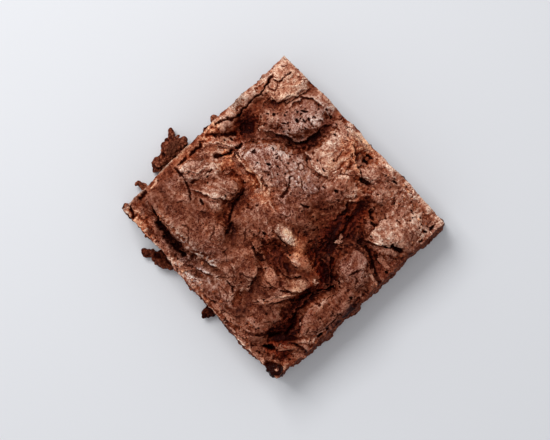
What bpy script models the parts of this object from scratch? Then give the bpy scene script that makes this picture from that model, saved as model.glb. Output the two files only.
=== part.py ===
"""One square chocolate brownie, cut from a tray bake.

A crinkled crust tops a slab of dense crumb with four rough cut sides, and a few
crumbs cling to its foot. It is one solid. Lengths are in millimetres until the
mesh is made in metres. The origin is the middle of the flat underside, +Z up.
"""

import math

import bmesh
import bpy
from mathutils import Vector, noise

MM = 0.001

# The four corners of the cut, a square gone slightly askew, at the crust, and how far
# each side bows outwards between them, mm.
SOUTH_WEST = Vector((-47.8, -42.0))
SOUTH_EAST = Vector((44.2, -47.0))
NORTH_WEST = Vector((-44.8, 46.9))
NORTH_EAST = Vector((47.8, 45.6))
BOW_WEST, BOW_EAST, BOW_SOUTH, BOW_NORTH = 1.0, 0.3, 0.5, 0.9
HALF_SIDE = 46.0

# Heights above the underside, mm.
MEAN_CREST = 22.0
LOWEST_CRUST = 18.2
FLOOR_SOFTNESS = 1.4
FOOT_HEIGHT = 1.0

# The mesh: crust cells each way, and rows of faces down each cut side.
CRUST_CELLS = 42
SIDE_ROWS = 6

# How far each cut side leans out at its foot, mm, and how rough it is.
LEAN_WEST, LEAN_EAST, LEAN_SOUTH, LEAN_NORTH = 0.6, 2.4, 1.4, 0.3
SIDE_ROUGHNESS = 1.3
SIDE_GRAIN = 5.0
FOOT_INSET = 1.3
OUTLINE_WANDER = 0.8
OUTLINE_GRAIN = 17.0
# The bow and the wander die out inwards by this odd power of the way to the rim.
RIM_POWER = 9
RIM_DROP = 1.1
RIM_WIDTH = 1.6

# The crust swells into billows that merge softly. Each one, mm and degrees:
# centre x, centre y, half length, half width, heading, crown height.
BILLOWS = {
    "north_west_corner": (-39, 38, 8, 9, 0, 27.6),
    "west_rim": (-45, 16, 3.2, 15, 0, 26.2),
    "pored_plateau": (-23, 36, 7.5, 9, -20, 27.4),
    "pored_tail": (-31, 28, 8, 4.5, 25, 25.4),
    "north_cushion": (-4, 35, 8, 11, 10, 28.4),
    "great_plateau": (-15, 14, 14, 9, 12, 28.4),
    "plateau_foot": (-3, 7, 12, 8, -12, 27.2),
    "west_fold": (-40, 3, 7, 2.6, 42, 26.2),
    "west_shoulder": (-37, -9, 9, 4.2, 55, 27.4),
    "inner_shoulder": (-26, -9, 6, 6.5, 30, 27.2),
    "smooth_dome": (-24, -26, 20, 8, -2, 27.8),
    "middle": (-6, -8, 9, 9, -20, 27.0),
    "bright_knoll": (6, -3, 7.5, 3, 0, 27.6),
    "small_knoll": (16.5, -6, 4.5, 3.5, 15, 26.6),
    "south_centre": (0, -25, 8, 9, 60, 27.4),
    "pink_facet": (14, -20, 4, 6, 75, 26.6),
    "flake_ridge": (23, -16, 8, 3.2, 58, 27.0),
    "south_knoll": (22, -34, 8, 7.5, 20, 27.2),
    "south_foot": (5, -37, 8, 5, -10, 25.6),
    "south_west_ledge": (-37, -42, 9, 3.5, 0, 23.4),
    "south_ledge": (-13, -43, 9, 3.0, 0, 24.6),
    "east_strip": (39, -12, 5.5, 14, 0, 26.8),
    "east_mound": (34, 7, 6.5, 7, 0, 27.4),
    "north_east_table": (35, 29, 9, 10, 0, 28.0),
    "rough_north": (20, 39, 12, 7, 0, 27.6),
    "saddle": (8, 27, 8, 7, 30, 27.0),
    "corner_fold": (37, -34, 7, 3, 50, 26.2),
}
BILLOW_FALL = 2.3
BILLOW_POWER = 1.7
BILLOW_BLEND = 0.9

# The crust sinks between the billows. Each valley: its route, half width, depth, mm.
VALLEYS = {
    "north": ([(-12.5, 47), (-13, 38), (-15, 30), (-18, 25.5), (-25, 21.5), (-31, 16)], 2.8, 4.2),
    "west_bowl": ([(-38.5, 27), (-37.5, 20), (-35, 14)], 4.4, 4.4),
    "bowl_outlet": ([(-35.5, 14), (-38, 8), (-42, 3)], 1.8, 2.4),
    "fold_crease": ([(-32, 9), (-33, 4), (-35, -1)], 1.4, 2.2),
    "orange_hollow": ([(-29, 0), (-20, -1.5)], 2.6, 2.4),
    "inner": ([(-18, 1), (-17, -5), (-17.5, -11), (-13, -16), (-9, -18)], 2.0, 2.6),
    "west_side": ([(-43, -1), (-43, -9)], 2.0, 2.4),
    "shoulder": ([(-41, -17), (-35, -17.5), (-30, -19), (-24, -18.5)], 1.4, 1.6),
    "undercut": ([(-39, -36.5), (-30, -37.5), (-22, -39), (-14, -39.5)], 1.9, 4.2),
    "east_gorge": ([(19, 29), (21, 21), (20, 14), (22.5, 8), (26, 3), (31, -2)], 3.6, 4.8),
    "gorge_slope": ([(15, 25), (16, 14), (19, 5)], 8.0, 3.0),
    "east_branch": ([(23, 12), (27, 16.5), (31, 18), (37, 16.5), (46, 15)], 2.2, 3.2),
    "south_gorge": ([(33, -3), (31, -8), (29.3, -14), (31, -21), (35, -26), (35.5, -31), (31, -37)], 2.8, 4.6),
    "hollow": ([(8, -11), (15, -12)], 3.6, 2.8),
    "south_crease": ([(5, -14), (9, -21), (11.5, -28), (15, -34), (20, -41)], 2.0, 2.8),
    "north_brow": ([(-30, 46), (-29.5, 36), (-31, 30)], 1.7, 1.8),
    "north_notch": ([(3, 42), (1, 36), (3, 29)], 3.0, 1.6),
    "south_brow": ([(-13, -38), (-6, -33), (0, -31)], 1.7, 1.6),
    "pit": ([(11, 35), (15, 35)], 1.5, 2.4),
    "break": ([(36, 23), (38.5, 25.5), (41, 25.5)], 1.5, 2.6),
    "corner": ([(33, -39.5), (37, -38), (41, -34)], 1.6, 2.4),
}

# Smooth noise bends the billows and valleys, then adds swells of its own:
# wavelength and size, mm.
BENDS = ((9.0, 3.4), (4.0, 1.5))
SWELLS = ((11.0, 1.4), (5.5, 0.9))

# Lumps of crumb that cling to the slab, mm and degrees:
# centre x, y, z, half length, half width, half height, heading, subdivisions.
CRUMBS = {
    "west_lump": (-52.6, -11.5, 5.1, 7.4, 5.3, 4.4, 96, 3),
    "west_lump_tip": (-58.3, -6.9, 3.0, 3.4, 2.6, 2.5, 150, 2),
    "west_lump_foot": (-52.4, -19.2, 3.4, 4.4, 3.5, 3.0, 84, 2),
    "west_crumb_high": (-48.8, 10.3, 2.5, 2.8, 2.5, 2.1, 0, 2),
    "west_crumb_sliver": (-48.4, 5.2, 2.1, 2.9, 2.2, 1.7, 84, 2),
    "west_crumb_low": (-50.9, -30.9, 2.4, 3.6, 2.1, 2.0, 8, 2),
    "corner_crumb": (-48.6, -41.6, 3.0, 2.3, 2.0, 2.4, 0, 2),
    "south_lump": (-23.4, -47.0, 4.2, 6.3, 3.8, 3.6, 8, 3),
    "south_lump_tip": (-30.0, -49.4, 2.8, 2.8, 2.5, 2.4, 30, 2),
    "south_crumb": (6.1, -48.6, 3.4, 4.0, 3.2, 2.8, 86, 2),
    "corner_lump": (41.2, -44.6, 22.6, 3.8, 3.5, 3.0, 30, 2),
}
CRUMB_ROUGHNESS = 0.22

# Chocolate brown.
CHOCOLATE = (0.135, 0.045, 0.026, 1.0)
CRUST_ROUGHNESS = 0.62


def clear_scene():
    for old in list(bpy.data.objects):
        bpy.data.objects.remove(old)


def wave(x, y, wavelength, seed):
    """Smooth noise, roughly from -1 to 1, one bump every wavelength or so."""
    return noise.noise(Vector((x / wavelength, y / wavelength, seed)))


def distance_to_route(x, y, route):
    """The shortest way from a point to a route of straight runs."""
    nearest = math.inf
    for (ax, ay), (bx, by) in zip(route, route[1:]):
        run_x, run_y = bx - ax, by - ay
        along = ((x - ax) * run_x + (y - ay) * run_y) / (run_x**2 + run_y**2)
        along = min(max(along, 0.0), 1.0)
        nearest = min(nearest, math.hypot(x - ax - along * run_x, y - ay - along * run_y))
    return nearest


def billow_crown(x, y, centre_x, centre_y, length, width, heading, crown):
    """Height of one billow: an elliptical dome that keeps falling past its edge."""
    cosine, sine = math.cos(math.radians(heading)), math.sin(math.radians(heading))
    away_x, away_y = x - centre_x, y - centre_y
    along = (away_x * cosine + away_y * sine) / length
    across = (away_y * cosine - away_x * sine) / width
    return crown - BILLOW_FALL * (along**2 + across**2) ** BILLOW_POWER


def billows_height(x, y):
    """The soft union of all billows, never much below the mean crest."""
    total = 1.0
    for billow in BILLOWS.values():
        total += math.exp((billow_crown(x, y, *billow) - MEAN_CREST) / BILLOW_BLEND)
    return MEAN_CREST + BILLOW_BLEND * math.log(total)


def valleys_depth(x, y):
    depth = 0.0
    for route, half_width, deepest in VALLEYS.values():
        depth += deepest * math.exp(-((distance_to_route(x, y, route) / half_width) ** 2))
    return depth


def crust_height(x, y):
    """Height of the crust above the underside at one place."""
    bent_x, bent_y = x, y
    for turn, (wavelength, size) in enumerate(BENDS):
        bent_x += size * wave(x, y, wavelength, 10 + turn)
        bent_y += size * wave(x, y, wavelength, 20 + turn)
    height = billows_height(bent_x, bent_y) - valleys_depth(bent_x, bent_y)
    for turn, (wavelength, size) in enumerate(SWELLS):
        height += size * wave(x, y, wavelength, 30 + turn)
    above_floor = (height - LOWEST_CRUST) / FLOOR_SOFTNESS
    return LOWEST_CRUST + FLOOR_SOFTNESS * math.log1p(math.exp(above_floor))


def rim_drop(across, along):
    """How far the crust rounds down beside the cut, for a place from -1 to 1 each way."""
    from_rim = HALF_SIDE * (1 - max(abs(across), abs(along)))
    return RIM_DROP * math.exp(-((from_rim / RIM_WIDTH) ** 2))


def outline_shift(x, y, across, along, low_bow, high_bow):
    """How far a place moves towards its cut edge, across the edge, as the edge bows and wanders."""
    bow = high_bow if across > 0 else low_bow
    wander = OUTLINE_WANDER * wave(x, y, OUTLINE_GRAIN, 40)
    return across**RIM_POWER * (bow * (1 - along**2) + wander)


def crust_point(column, row):
    """A point of the crust, for a column and a row from 0 to CRUST_CELLS."""
    column_share, row_share = column / CRUST_CELLS, row / CRUST_CELLS
    across, along = 2 * column_share - 1, 2 * row_share - 1
    south = SOUTH_WEST.lerp(SOUTH_EAST, column_share)
    north = NORTH_WEST.lerp(NORTH_EAST, column_share)
    x, y = south.lerp(north, row_share)
    height = crust_height(x, y) - rim_drop(across, along)
    shift_x = outline_shift(x, y, across, along, BOW_WEST, BOW_EAST)
    shift_y = outline_shift(x, y, along, across, BOW_SOUTH, BOW_NORTH)
    return Vector((x + shift_x, y + shift_y, height))


def rim_places():
    """The columns and rows round the edge of the crust, anticlockwise from the south-west."""
    last = CRUST_CELLS
    south = [(step, 0) for step in range(last)]
    east = [(last, step) for step in range(last)]
    north = [(last - step, last) for step in range(last)]
    west = [(0, last - step) for step in range(last)]
    return south + east + north + west


def side_lean(column, row):
    """Which way a place on the rim faces, times how far its side leans out there."""
    lean_x = {0: -LEAN_WEST, CRUST_CELLS: LEAN_EAST}.get(column, 0.0)
    lean_y = {0: -LEAN_SOUTH, CRUST_CELLS: LEAN_NORTH}.get(row, 0.0)
    return Vector((lean_x, lean_y, 0.0))


def side_point(rim_point, lean, down):
    """A point of a cut side, for a way down from 0 at the rim to 1 at the foot."""
    height = rim_point.z + (FOOT_HEIGHT - rim_point.z) * down
    outward = Vector((math.copysign(bool(lean.x), lean.x), math.copysign(bool(lean.y), lean.y), 0.0))
    grain = noise.noise(Vector((rim_point.x, rim_point.y, height)) / SIDE_GRAIN)
    point = rim_point + lean * math.sin(down * math.pi / 2) + outward * grain * SIDE_ROUGHNESS * down**0.5
    point.z = height
    return point


def slab_mesh():
    """The slab: crust on top, four cut sides, and a flat underside at z = 0."""
    shape = bmesh.new()
    steps = range(CRUST_CELLS + 1)
    crust = {(c, r): shape.verts.new(crust_point(c, r) * MM) for c in steps for r in steps}
    for column in range(CRUST_CELLS):
        for row in range(CRUST_CELLS):
            corners = ((column, row), (column + 1, row), (column + 1, row + 1), (column, row + 1))
            shape.faces.new([crust[corner] for corner in corners])
    places = rim_places()
    ring = [crust[place] for place in places]
    rim_points = [crust_point(*place) for place in places]
    leans = [side_lean(*place) for place in places]
    for down in range(1, SIDE_ROWS + 1):
        lower = [
            shape.verts.new(side_point(point, lean, down / SIDE_ROWS) * MM)
            for point, lean in zip(rim_points, leans)
        ]
        bridge(shape, ring, lower)
        ring = lower
    inset = 1 - FOOT_INSET / HALF_SIDE
    underside = [shape.verts.new((vert.co.x * inset, vert.co.y * inset, 0.0)) for vert in ring]
    bridge(shape, ring, underside)
    shape.faces.new(reversed(underside))
    mesh = bpy.data.meshes.new("brownie")
    shape.to_mesh(mesh)
    shape.free()
    return mesh


def bridge(shape, upper, lower):
    """Joins two rings of as many points with four-sided faces that look outwards."""
    for here, upper_point in enumerate(upper):
        after = (here + 1) % len(upper)
        shape.faces.new((upper[after], upper_point, lower[here], lower[after]))


def crumb_object(name, x, y, z, length, width, height, heading, subdivisions):
    """A rough lump that a union joins to the slab, held just clear of the ground."""
    shape = bmesh.new()
    bmesh.ops.create_icosphere(shape, subdivisions=subdivisions, radius=1.0)
    for vert in shape.verts:
        grain = noise.noise(vert.co * 1.7 + Vector((x, y, z)))
        vert.co *= 1 + CRUMB_ROUGHNESS * grain
        vert.co = Vector((vert.co.x * length, vert.co.y * width, vert.co.z * height)) * MM
    mesh = bpy.data.meshes.new(name)
    shape.to_mesh(mesh)
    shape.free()
    crumb = bpy.data.objects.new(name, mesh)
    crumb.location = Vector((x, y, z)) * MM
    crumb.rotation_euler.z = math.radians(heading)
    crumb.hide_render = True
    crumb.display_type = "WIRE"
    bpy.context.collection.objects.link(crumb)
    return crumb


def chocolate():
    material = bpy.data.materials.new("chocolate")
    material.use_nodes = True
    shader = material.node_tree.nodes["Principled BSDF"]
    shader.inputs["Base Color"].default_value = CHOCOLATE
    shader.inputs["Roughness"].default_value = CRUST_ROUGHNESS
    shader.inputs["Metallic"].default_value = 0.0
    return material


def make_brownie():
    mesh = slab_mesh()
    mesh.materials.append(chocolate())
    mesh.shade_smooth()
    brownie = bpy.data.objects.new("brownie", mesh)
    bpy.context.collection.objects.link(brownie)
    for name, crumb in CRUMBS.items():
        union = brownie.modifiers.new(name, "BOOLEAN")
        union.operation = "UNION"
        union.solver = "EXACT"
        union.object = crumb_object(name, *crumb)


clear_scene()
make_brownie()
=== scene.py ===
import math

import bmesh
import bpy
import numpy as np
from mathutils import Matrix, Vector
from mathutils.bvhtree import BVHTree


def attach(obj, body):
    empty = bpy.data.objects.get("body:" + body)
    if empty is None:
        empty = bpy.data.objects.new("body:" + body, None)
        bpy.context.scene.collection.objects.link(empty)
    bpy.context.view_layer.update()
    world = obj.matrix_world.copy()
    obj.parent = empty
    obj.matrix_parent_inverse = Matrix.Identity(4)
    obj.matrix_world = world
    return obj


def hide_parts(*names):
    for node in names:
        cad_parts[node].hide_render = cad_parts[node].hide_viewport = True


# The looks of one chocolate brownie: crust, crumb, flakes and crumbs, as detailed meshes that stand for
# the plain solid. Lengths are in millimetres, and become metres only where a mesh or an object is made.

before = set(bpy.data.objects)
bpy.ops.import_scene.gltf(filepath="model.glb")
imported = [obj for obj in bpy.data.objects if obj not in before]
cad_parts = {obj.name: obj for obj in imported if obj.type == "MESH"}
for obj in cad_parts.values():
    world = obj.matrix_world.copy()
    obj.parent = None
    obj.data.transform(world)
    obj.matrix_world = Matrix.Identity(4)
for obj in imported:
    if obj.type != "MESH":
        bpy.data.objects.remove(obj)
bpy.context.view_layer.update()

MM = 0.001

# ---- How finely the surfaces are made -------------------------------------------------------------
CRUST_STEPS = 420
WALL_ROWS = 56
SAMPLE_STEP = 0.6
SAMPLE_BLUR = 1.1

# ---- The frame: where the solid's crust and sides are ------------------------------------------------
# The solid's corners at the crust, and the heights at which its cut sides are read.
CORNERS = {
    "south_west": (-47.8, -42.0),
    "south_east": (44.2, -47.0),
    "north_west": (-44.8, 46.9),
    "north_east": (47.8, 45.6),
}
SIDES = {
    "south": ("south_west", "south_east"),
    "north": ("north_west", "north_east"),
    "west": ("south_west", "north_west"),
    "east": ("south_east", "north_east"),
}
OUTWARD = {"south": (0, -1), "north": (0, 1), "west": (-1, 0), "east": (1, 0)}
OUTLINE_HEIGHT = 17.0
LOWER_OUTLINE_HEIGHT = 11.0
SIDE_SHARES = np.linspace(0.03, 0.97, 171)
FAR = 100.0
CRUST_INSET = {"south": 0.5, "north": 0.0, "west": 0.0, "east": 0.9}

# ---- Colours, as 0 to 255 screen values ---------------------------------------------------------------
# Baked chocolate from moist and dark to dry and pale: a tone from 0 to 1, and its colour.
PALETTE = (
    (0.00, (28, 3, 1)),
    (0.15, (50, 12, 5)),
    (0.35, (90, 40, 24)),
    (0.50, (120, 63, 43)),
    (0.70, (161, 101, 79)),
    (0.85, (202, 148, 124)),
    (1.00, (236, 196, 172)),
)
HUES = {
    "rust": (1.12, 0.92, 0.74),
    "wine": (1.00, 0.62, 0.50),
    "mauve": (0.95, 1.05, 1.20),
    "grey": (0.90, 1.04, 1.08),
}
DARKEST = 0.02
PALEST = 0.97


def srgb_to_linear(value):
    share = np.asarray(value, float) / 255
    return np.where(share <= 0.04045, share / 12.92, ((share + 0.055) / 1.055) ** 2.4)


def toned(tone):
    """The palette's linear colour for each tone."""
    steps = [step for step, _ in PALETTE]
    colours = srgb_to_linear([colour for _, colour in PALETTE])
    return np.stack([np.interp(tone, steps, colours[:, channel]) for channel in range(3)], axis=-1)


# ---- Noise ---------------------------------------------------------------------------------------------
class Noise:
    """Seeded lattice noise over points, an array of rows x, y, z in millimetres."""

    def __init__(self, seed):
        random = np.random.default_rng(seed)
        self.order = random.permutation(256)
        ways = random.normal(size=(256, 3))
        self.ways = ways / np.linalg.norm(ways, axis=1)[:, None]
        self.jitter = random.random((256, 3))

    def pick(self, cell):
        index = self.order[cell[:, 0] & 255]
        index = self.order[(index + cell[:, 1]) & 255]
        return self.order[(index + cell[:, 2]) & 255]

    def smooth(self, points, wavelength):
        """Gradient noise, roughly from -1 to 1."""
        scaled = points / wavelength + 0.37
        cell = np.floor(scaled).astype(int)
        inside = scaled - cell
        ease = inside**3 * (inside * (inside * 6 - 15) + 10)
        total = np.zeros(len(points))
        for corner in np.ndindex(2, 2, 2):
            corner = np.array(corner)
            slope = (self.ways[self.pick(cell + corner)] * (inside - corner)).sum(axis=1)
            share = np.where(corner, ease, 1 - ease).prod(axis=1)
            total += slope * share
        return total * 1.6

    def cells(self, points, size):
        """Distances to the nearest and second nearest scattered seed, in seed spacings, and a value per seed."""
        scaled = points / size
        cell = np.floor(scaled).astype(int)
        first = np.full(len(points), 9.0)
        second = np.full(len(points), 9.0)
        value = np.zeros(len(points))
        for step in np.ndindex(3, 3, 3):
            near = cell + np.array(step) - 1
            index = self.pick(near)
            away = np.linalg.norm(near + self.jitter[index] - scaled, axis=1)
            closer = away < first
            second = np.where(closer, first, np.minimum(second, away))
            value = np.where(closer, self.jitter[index, 0], value)
            first = np.where(closer, away, first)
        return first, second, value


NOISE = [Noise(seed) for seed in range(12)]


def smoothstep(low, high, value):
    share = np.clip((value - low) / (high - low), 0, 1)
    return share * share * (3 - 2 * share)


def blurred(grid, sigma_cells):
    """Gaussian blur of a grid that repeats its border outwards."""
    reach = max(1, int(3 * sigma_cells))
    weights = np.exp(-0.5 * (np.arange(-reach, reach + 1) / sigma_cells) ** 2)
    weights /= weights.sum()
    for axis in (0, 1):
        pads = [(reach, reach) if side == axis else (0, 0) for side in (0, 1)]
        padded = np.pad(grid, pads, mode="edge")
        grid = sum(
            weight * np.take(padded, range(turn, turn + grid.shape[axis]), axis=axis)
            for turn, weight in enumerate(weights)
        )
    return grid


# ---- Reading the solid ------------------------------------------------------------------------------------
def solid_tree():
    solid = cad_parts["brownie"].data
    corners = [vertex.co / MM for vertex in solid.vertices]
    solid.calc_loop_triangles()
    return BVHTree.FromPolygons(corners, [tuple(face.vertices) for face in solid.loop_triangles])


def side_line(side, share):
    """The straight line between a side's two corners, at shares from 0 to 1."""
    start, end = (np.array(CORNERS[corner]) for corner in SIDES[side])
    return start + (end - start) * np.asarray(share)[..., None]


def side_strays(tree, side, height):
    """How far the cut side lies outside the line between its corners, at one height."""
    way = np.array(OUTWARD[side], float)
    strays = []
    for place in side_line(side, SIDE_SHARES):
        start = Vector((*(place + way * FAR), height))
        hit = tree.ray_cast(start, Vector((*-way, 0)))[0]
        strays.append(np.dot((hit.x - place[0], hit.y - place[1]), way))
    return np.array(strays)


def crust_samples(tree, reach):
    """Heights of the solid's crust on a regular grid from -reach to reach, smoothed."""
    count = int(2 * reach / SAMPLE_STEP) + 1
    places = np.linspace(-reach, reach, count)
    heights = np.empty((count, count))
    for column, x in enumerate(places):
        for row, y in enumerate(places):
            hit = tree.ray_cast(Vector((x, y, FAR)), Vector((0, 0, -1)))[0]
            heights[column, row] = hit.z if hit and hit.z > OUTLINE_HEIGHT else np.nan
    return places, blurred(filled_outwards(heights), SAMPLE_BLUR / (places[1] - places[0]))


def filled_outwards(grid):
    """The grid with its missing values taken from their nearest neighbours, ring by ring."""
    while np.isnan(grid).any():
        padded = np.pad(grid, 1, constant_values=np.nan)
        around = [padded[1 + a : padded.shape[0] - 1 + a, 1 + b : padded.shape[1] - 1 + b]
                  for a, b in ((-1, 0), (1, 0), (0, -1), (0, 1))]
        known = ~np.isnan(around)
        total = np.where(known, around, 0).sum(axis=0)
        count = known.sum(axis=0)
        grid = np.where(np.isnan(grid) & (count > 0), total / np.maximum(count, 1), grid)
    return grid


def interpolated(places, grid, x, y):
    """Cubic interpolation of a grid of heights at any x, y."""
    step = places[1] - places[0]
    limit = len(places) - 1
    column = np.clip((x - places[0]) / step, 0, limit - 1e-6)
    row = np.clip((y - places[0]) / step, 0, limit - 1e-6)
    column_cell = column.astype(int)
    row_cell = row.astype(int)

    def weights(share):
        return (
            ((-share + 2) * share - 1) * share / 2,
            ((3 * share - 5) * share * share + 2) / 2,
            ((-3 * share + 4) * share + 1) * share / 2,
            (share - 1) * share * share / 2,
        )

    column_weights = weights(column - column_cell)
    row_weights = weights(row - row_cell)
    total = np.zeros_like(x)
    for a, column_weight in enumerate(column_weights):
        for b, row_weight in enumerate(row_weights):
            at_column = np.clip(column_cell + a - 1, 0, limit)
            at_row = np.clip(row_cell + b - 1, 0, limit)
            total += column_weight * row_weight * grid[at_column, at_row]
    return total


TREE = solid_tree()
SAMPLE_REACH = 50.0
SAMPLE_PLACES, SAMPLE_HEIGHTS = crust_samples(TREE, SAMPLE_REACH)
STRAYS = {side: side_strays(TREE, side, OUTLINE_HEIGHT) for side in SIDES}
LOWER_STRAYS = {side: side_strays(TREE, side, LOWER_OUTLINE_HEIGHT) for side in SIDES}


def stray_at(side, share, strays):
    return np.interp(share, SIDE_SHARES, strays[side])


def lean_at(side, share):
    """How far the side leans out for each millimetre down."""
    change = stray_at(side, share, LOWER_STRAYS) - stray_at(side, share, STRAYS)
    return change / (OUTLINE_HEIGHT - LOWER_OUTLINE_HEIGHT)


# ---- Fine relief of the crust: places and sizes on the frame's crust, mm ----------------------------------
# Thin cracks: route, half width, depth, and how far the crust beside them lifts.
CRACKS = {
    "corner_split": ([(-39.2, 44.2), (-39.7, 41.6), (-39.5, 39)], 0.4, 1.3, 0.2),
    "rim_hole": ([(-42.9, 38.4), (-42.6, 36)], 0.8, 2.4, 0.3),
    "rim_west": ([(-42.6, 35.4), (-42.2, 31), (-42.5, 26), (-42.4, 19), (-43.2, 15), (-44.8, 12.2)], 0.4, 1.8, 0.3),
    "rim_west_low": ([(-45.2, 11.4), (-45.7, 8.6)], 0.5, 1.8, 0.2),
    "brow": ([(-29.2, 41), (-26.8, 42.2)], 0.4, 1.2, 0.3),
    "arc_north": ([(-18.2, 44.4), (-15, 43)], 0.6, 1.6, 0.3),
    "layers": ([(-11.4, 43), (-10, 44.6), (-7, 45.4)], 0.4, 1.4, 0.5),
    "layers_east": ([(-3.4, 44.4), (-1, 45.4), (2, 45)], 0.4, 1.3, 0.5),
    "fold_outer": ([(-44.6, 3.4), (-40.6, 8.4), (-38, 12)], 0.8, 1.4, 0.4),
    "fold_inner": ([(-33.2, 10.4), (-34, 5), (-35.8, 1.2), (-36.6, -0.8)], 0.7, 1.8, 0.5),
    "plateau_streak": ([(-22, 17.4), (-16, 16.6), (-10, 15.9), (-5.6, 15.6)], 0.25, 0.5, 0.2),
    "plateau_hollow": ([(-8.8, 14), (-7, 11.2), (-6.4, 7)], 0.6, 0.9, 0.3),
    "inner": ([(-18.6, -2.6), (-18.2, -9.6), (-14.6, -15.2)], 0.6, 1.3, 0.3),
    "inner_hook": ([(-13, -15), (-12, -19)], 0.7, 1.2, 0.4),
    "west_strip": ([(-44.8, -1), (-44.4, -8), (-45, -13)], 0.5, 1.2, 0.4),
    "shoulder": ([(-44.4, -15.2), (-41, -15.6), (-37.6, -16), (-34, -18), (-31.4, -19.6)], 0.4, 1.4, 0.4),
    "shoulder_gap": ([(-34, -5.6), (-34.6, -10), (-36, -14.6)], 0.4, 1.0, 0.3),
    "undercut": ([(-34.2, -35.6), (-28, -36.8), (-22, -37.8), (-18.4, -37.4)], 1.4, 3.6, 0.7),
    "undercut_tail": ([(-40.4, -32.2), (-38.7, -33.9), (-34.4, -34.6)], 0.45, 1.8, 0.3),
    "rim_south_west": ([(-46.4, -30.6), (-46.2, -34)], 0.7, 1.6, 0.2),
    "corner_west": ([(-46.6, -39.2), (-44.6, -40.4), (-42.6, -41.6)], 0.6, 1.8, 0.3),
    "south_split": ([(-18.4, -40.4), (-15.4, -43.4)], 0.4, 1.0, 0.4),
    "south_step": ([(2.2, -32.5), (5.8, -32.3), (6.7, -34.4)], 0.35, 1.1, 0.3),
    "south_dent": ([(0.3, -16), (2.2, -17.2), (4.7, -15.7)], 0.5, 1.4, 0.4),
    "bright_foot": ([(3.4, -5), (7, -4.9), (10, -5.8)], 0.4, 0.9, 0.3),
    "north_crease": ([(1, 9.8), (2.4, 10.4), (4.2, 11.2)], 0.5, 1.2, 0.3),
    "table_west": ([(22.6, 29), (24, 26.8), (29.4, 25.4)], 0.6, 1.6, 0.5),
    "gorge_floor": ([(19.4, 22), (21, 15), (22, 9.4)], 0.7, 1.2, 0.3),
    "gorge_foot": ([(25, 4), (29, 0), (32.4, -3.4)], 0.6, 1.2, 0.3),
    "branch": ([(28, 15.8), (33, 16.4), (38, 14.4), (46, 10)], 0.6, 1.4, 0.4),
    "mound": ([(36.7, 8.2), (35.6, 6), (35.3, 4.4)], 0.35, 0.9, 0.3),
    "south_gorge": ([(34.4, -4), (31.4, -8.6), (29, -13.6), (27.4, -18)], 0.6, 1.6, 0.4),
    "south_gorge_low": ([(31, -23), (33.6, -27), (34, -31), (30, -36)], 0.7, 1.8, 0.4),
    "rim_east": ([(43, -9.4), (43.6, -14), (44.4, -18.4)], 0.35, 1.5, 0.2),
    "east_split": ([(40, -31.4), (43, -30.4), (45.4, -30.6)], 0.5, 1.5, 0.2),
    "facet": ([(7.4, -20.4), (9.4, -25), (9.6, -29)], 0.35, 0.8, 0.4),
    "foot_arc": ([(2.4, -42.8), (5.4, -42.3), (7.4, -41.7), (8.6, -43)], 0.45, 1.4, 0.5),
    "corner": ([(31.4, -40.4), (33, -39.7), (35, -39)], 0.8, 2.2, 0.4),
    "knoll": ([(20.4, -13), (21.6, -11.4), (25, -10)], 0.35, 0.8, 0.4),
    "ridge_foot": ([(20, -20.6), (22.8, -18), (25.4, -16.4)], 0.4, 1.2, 0.3),
}

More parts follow.
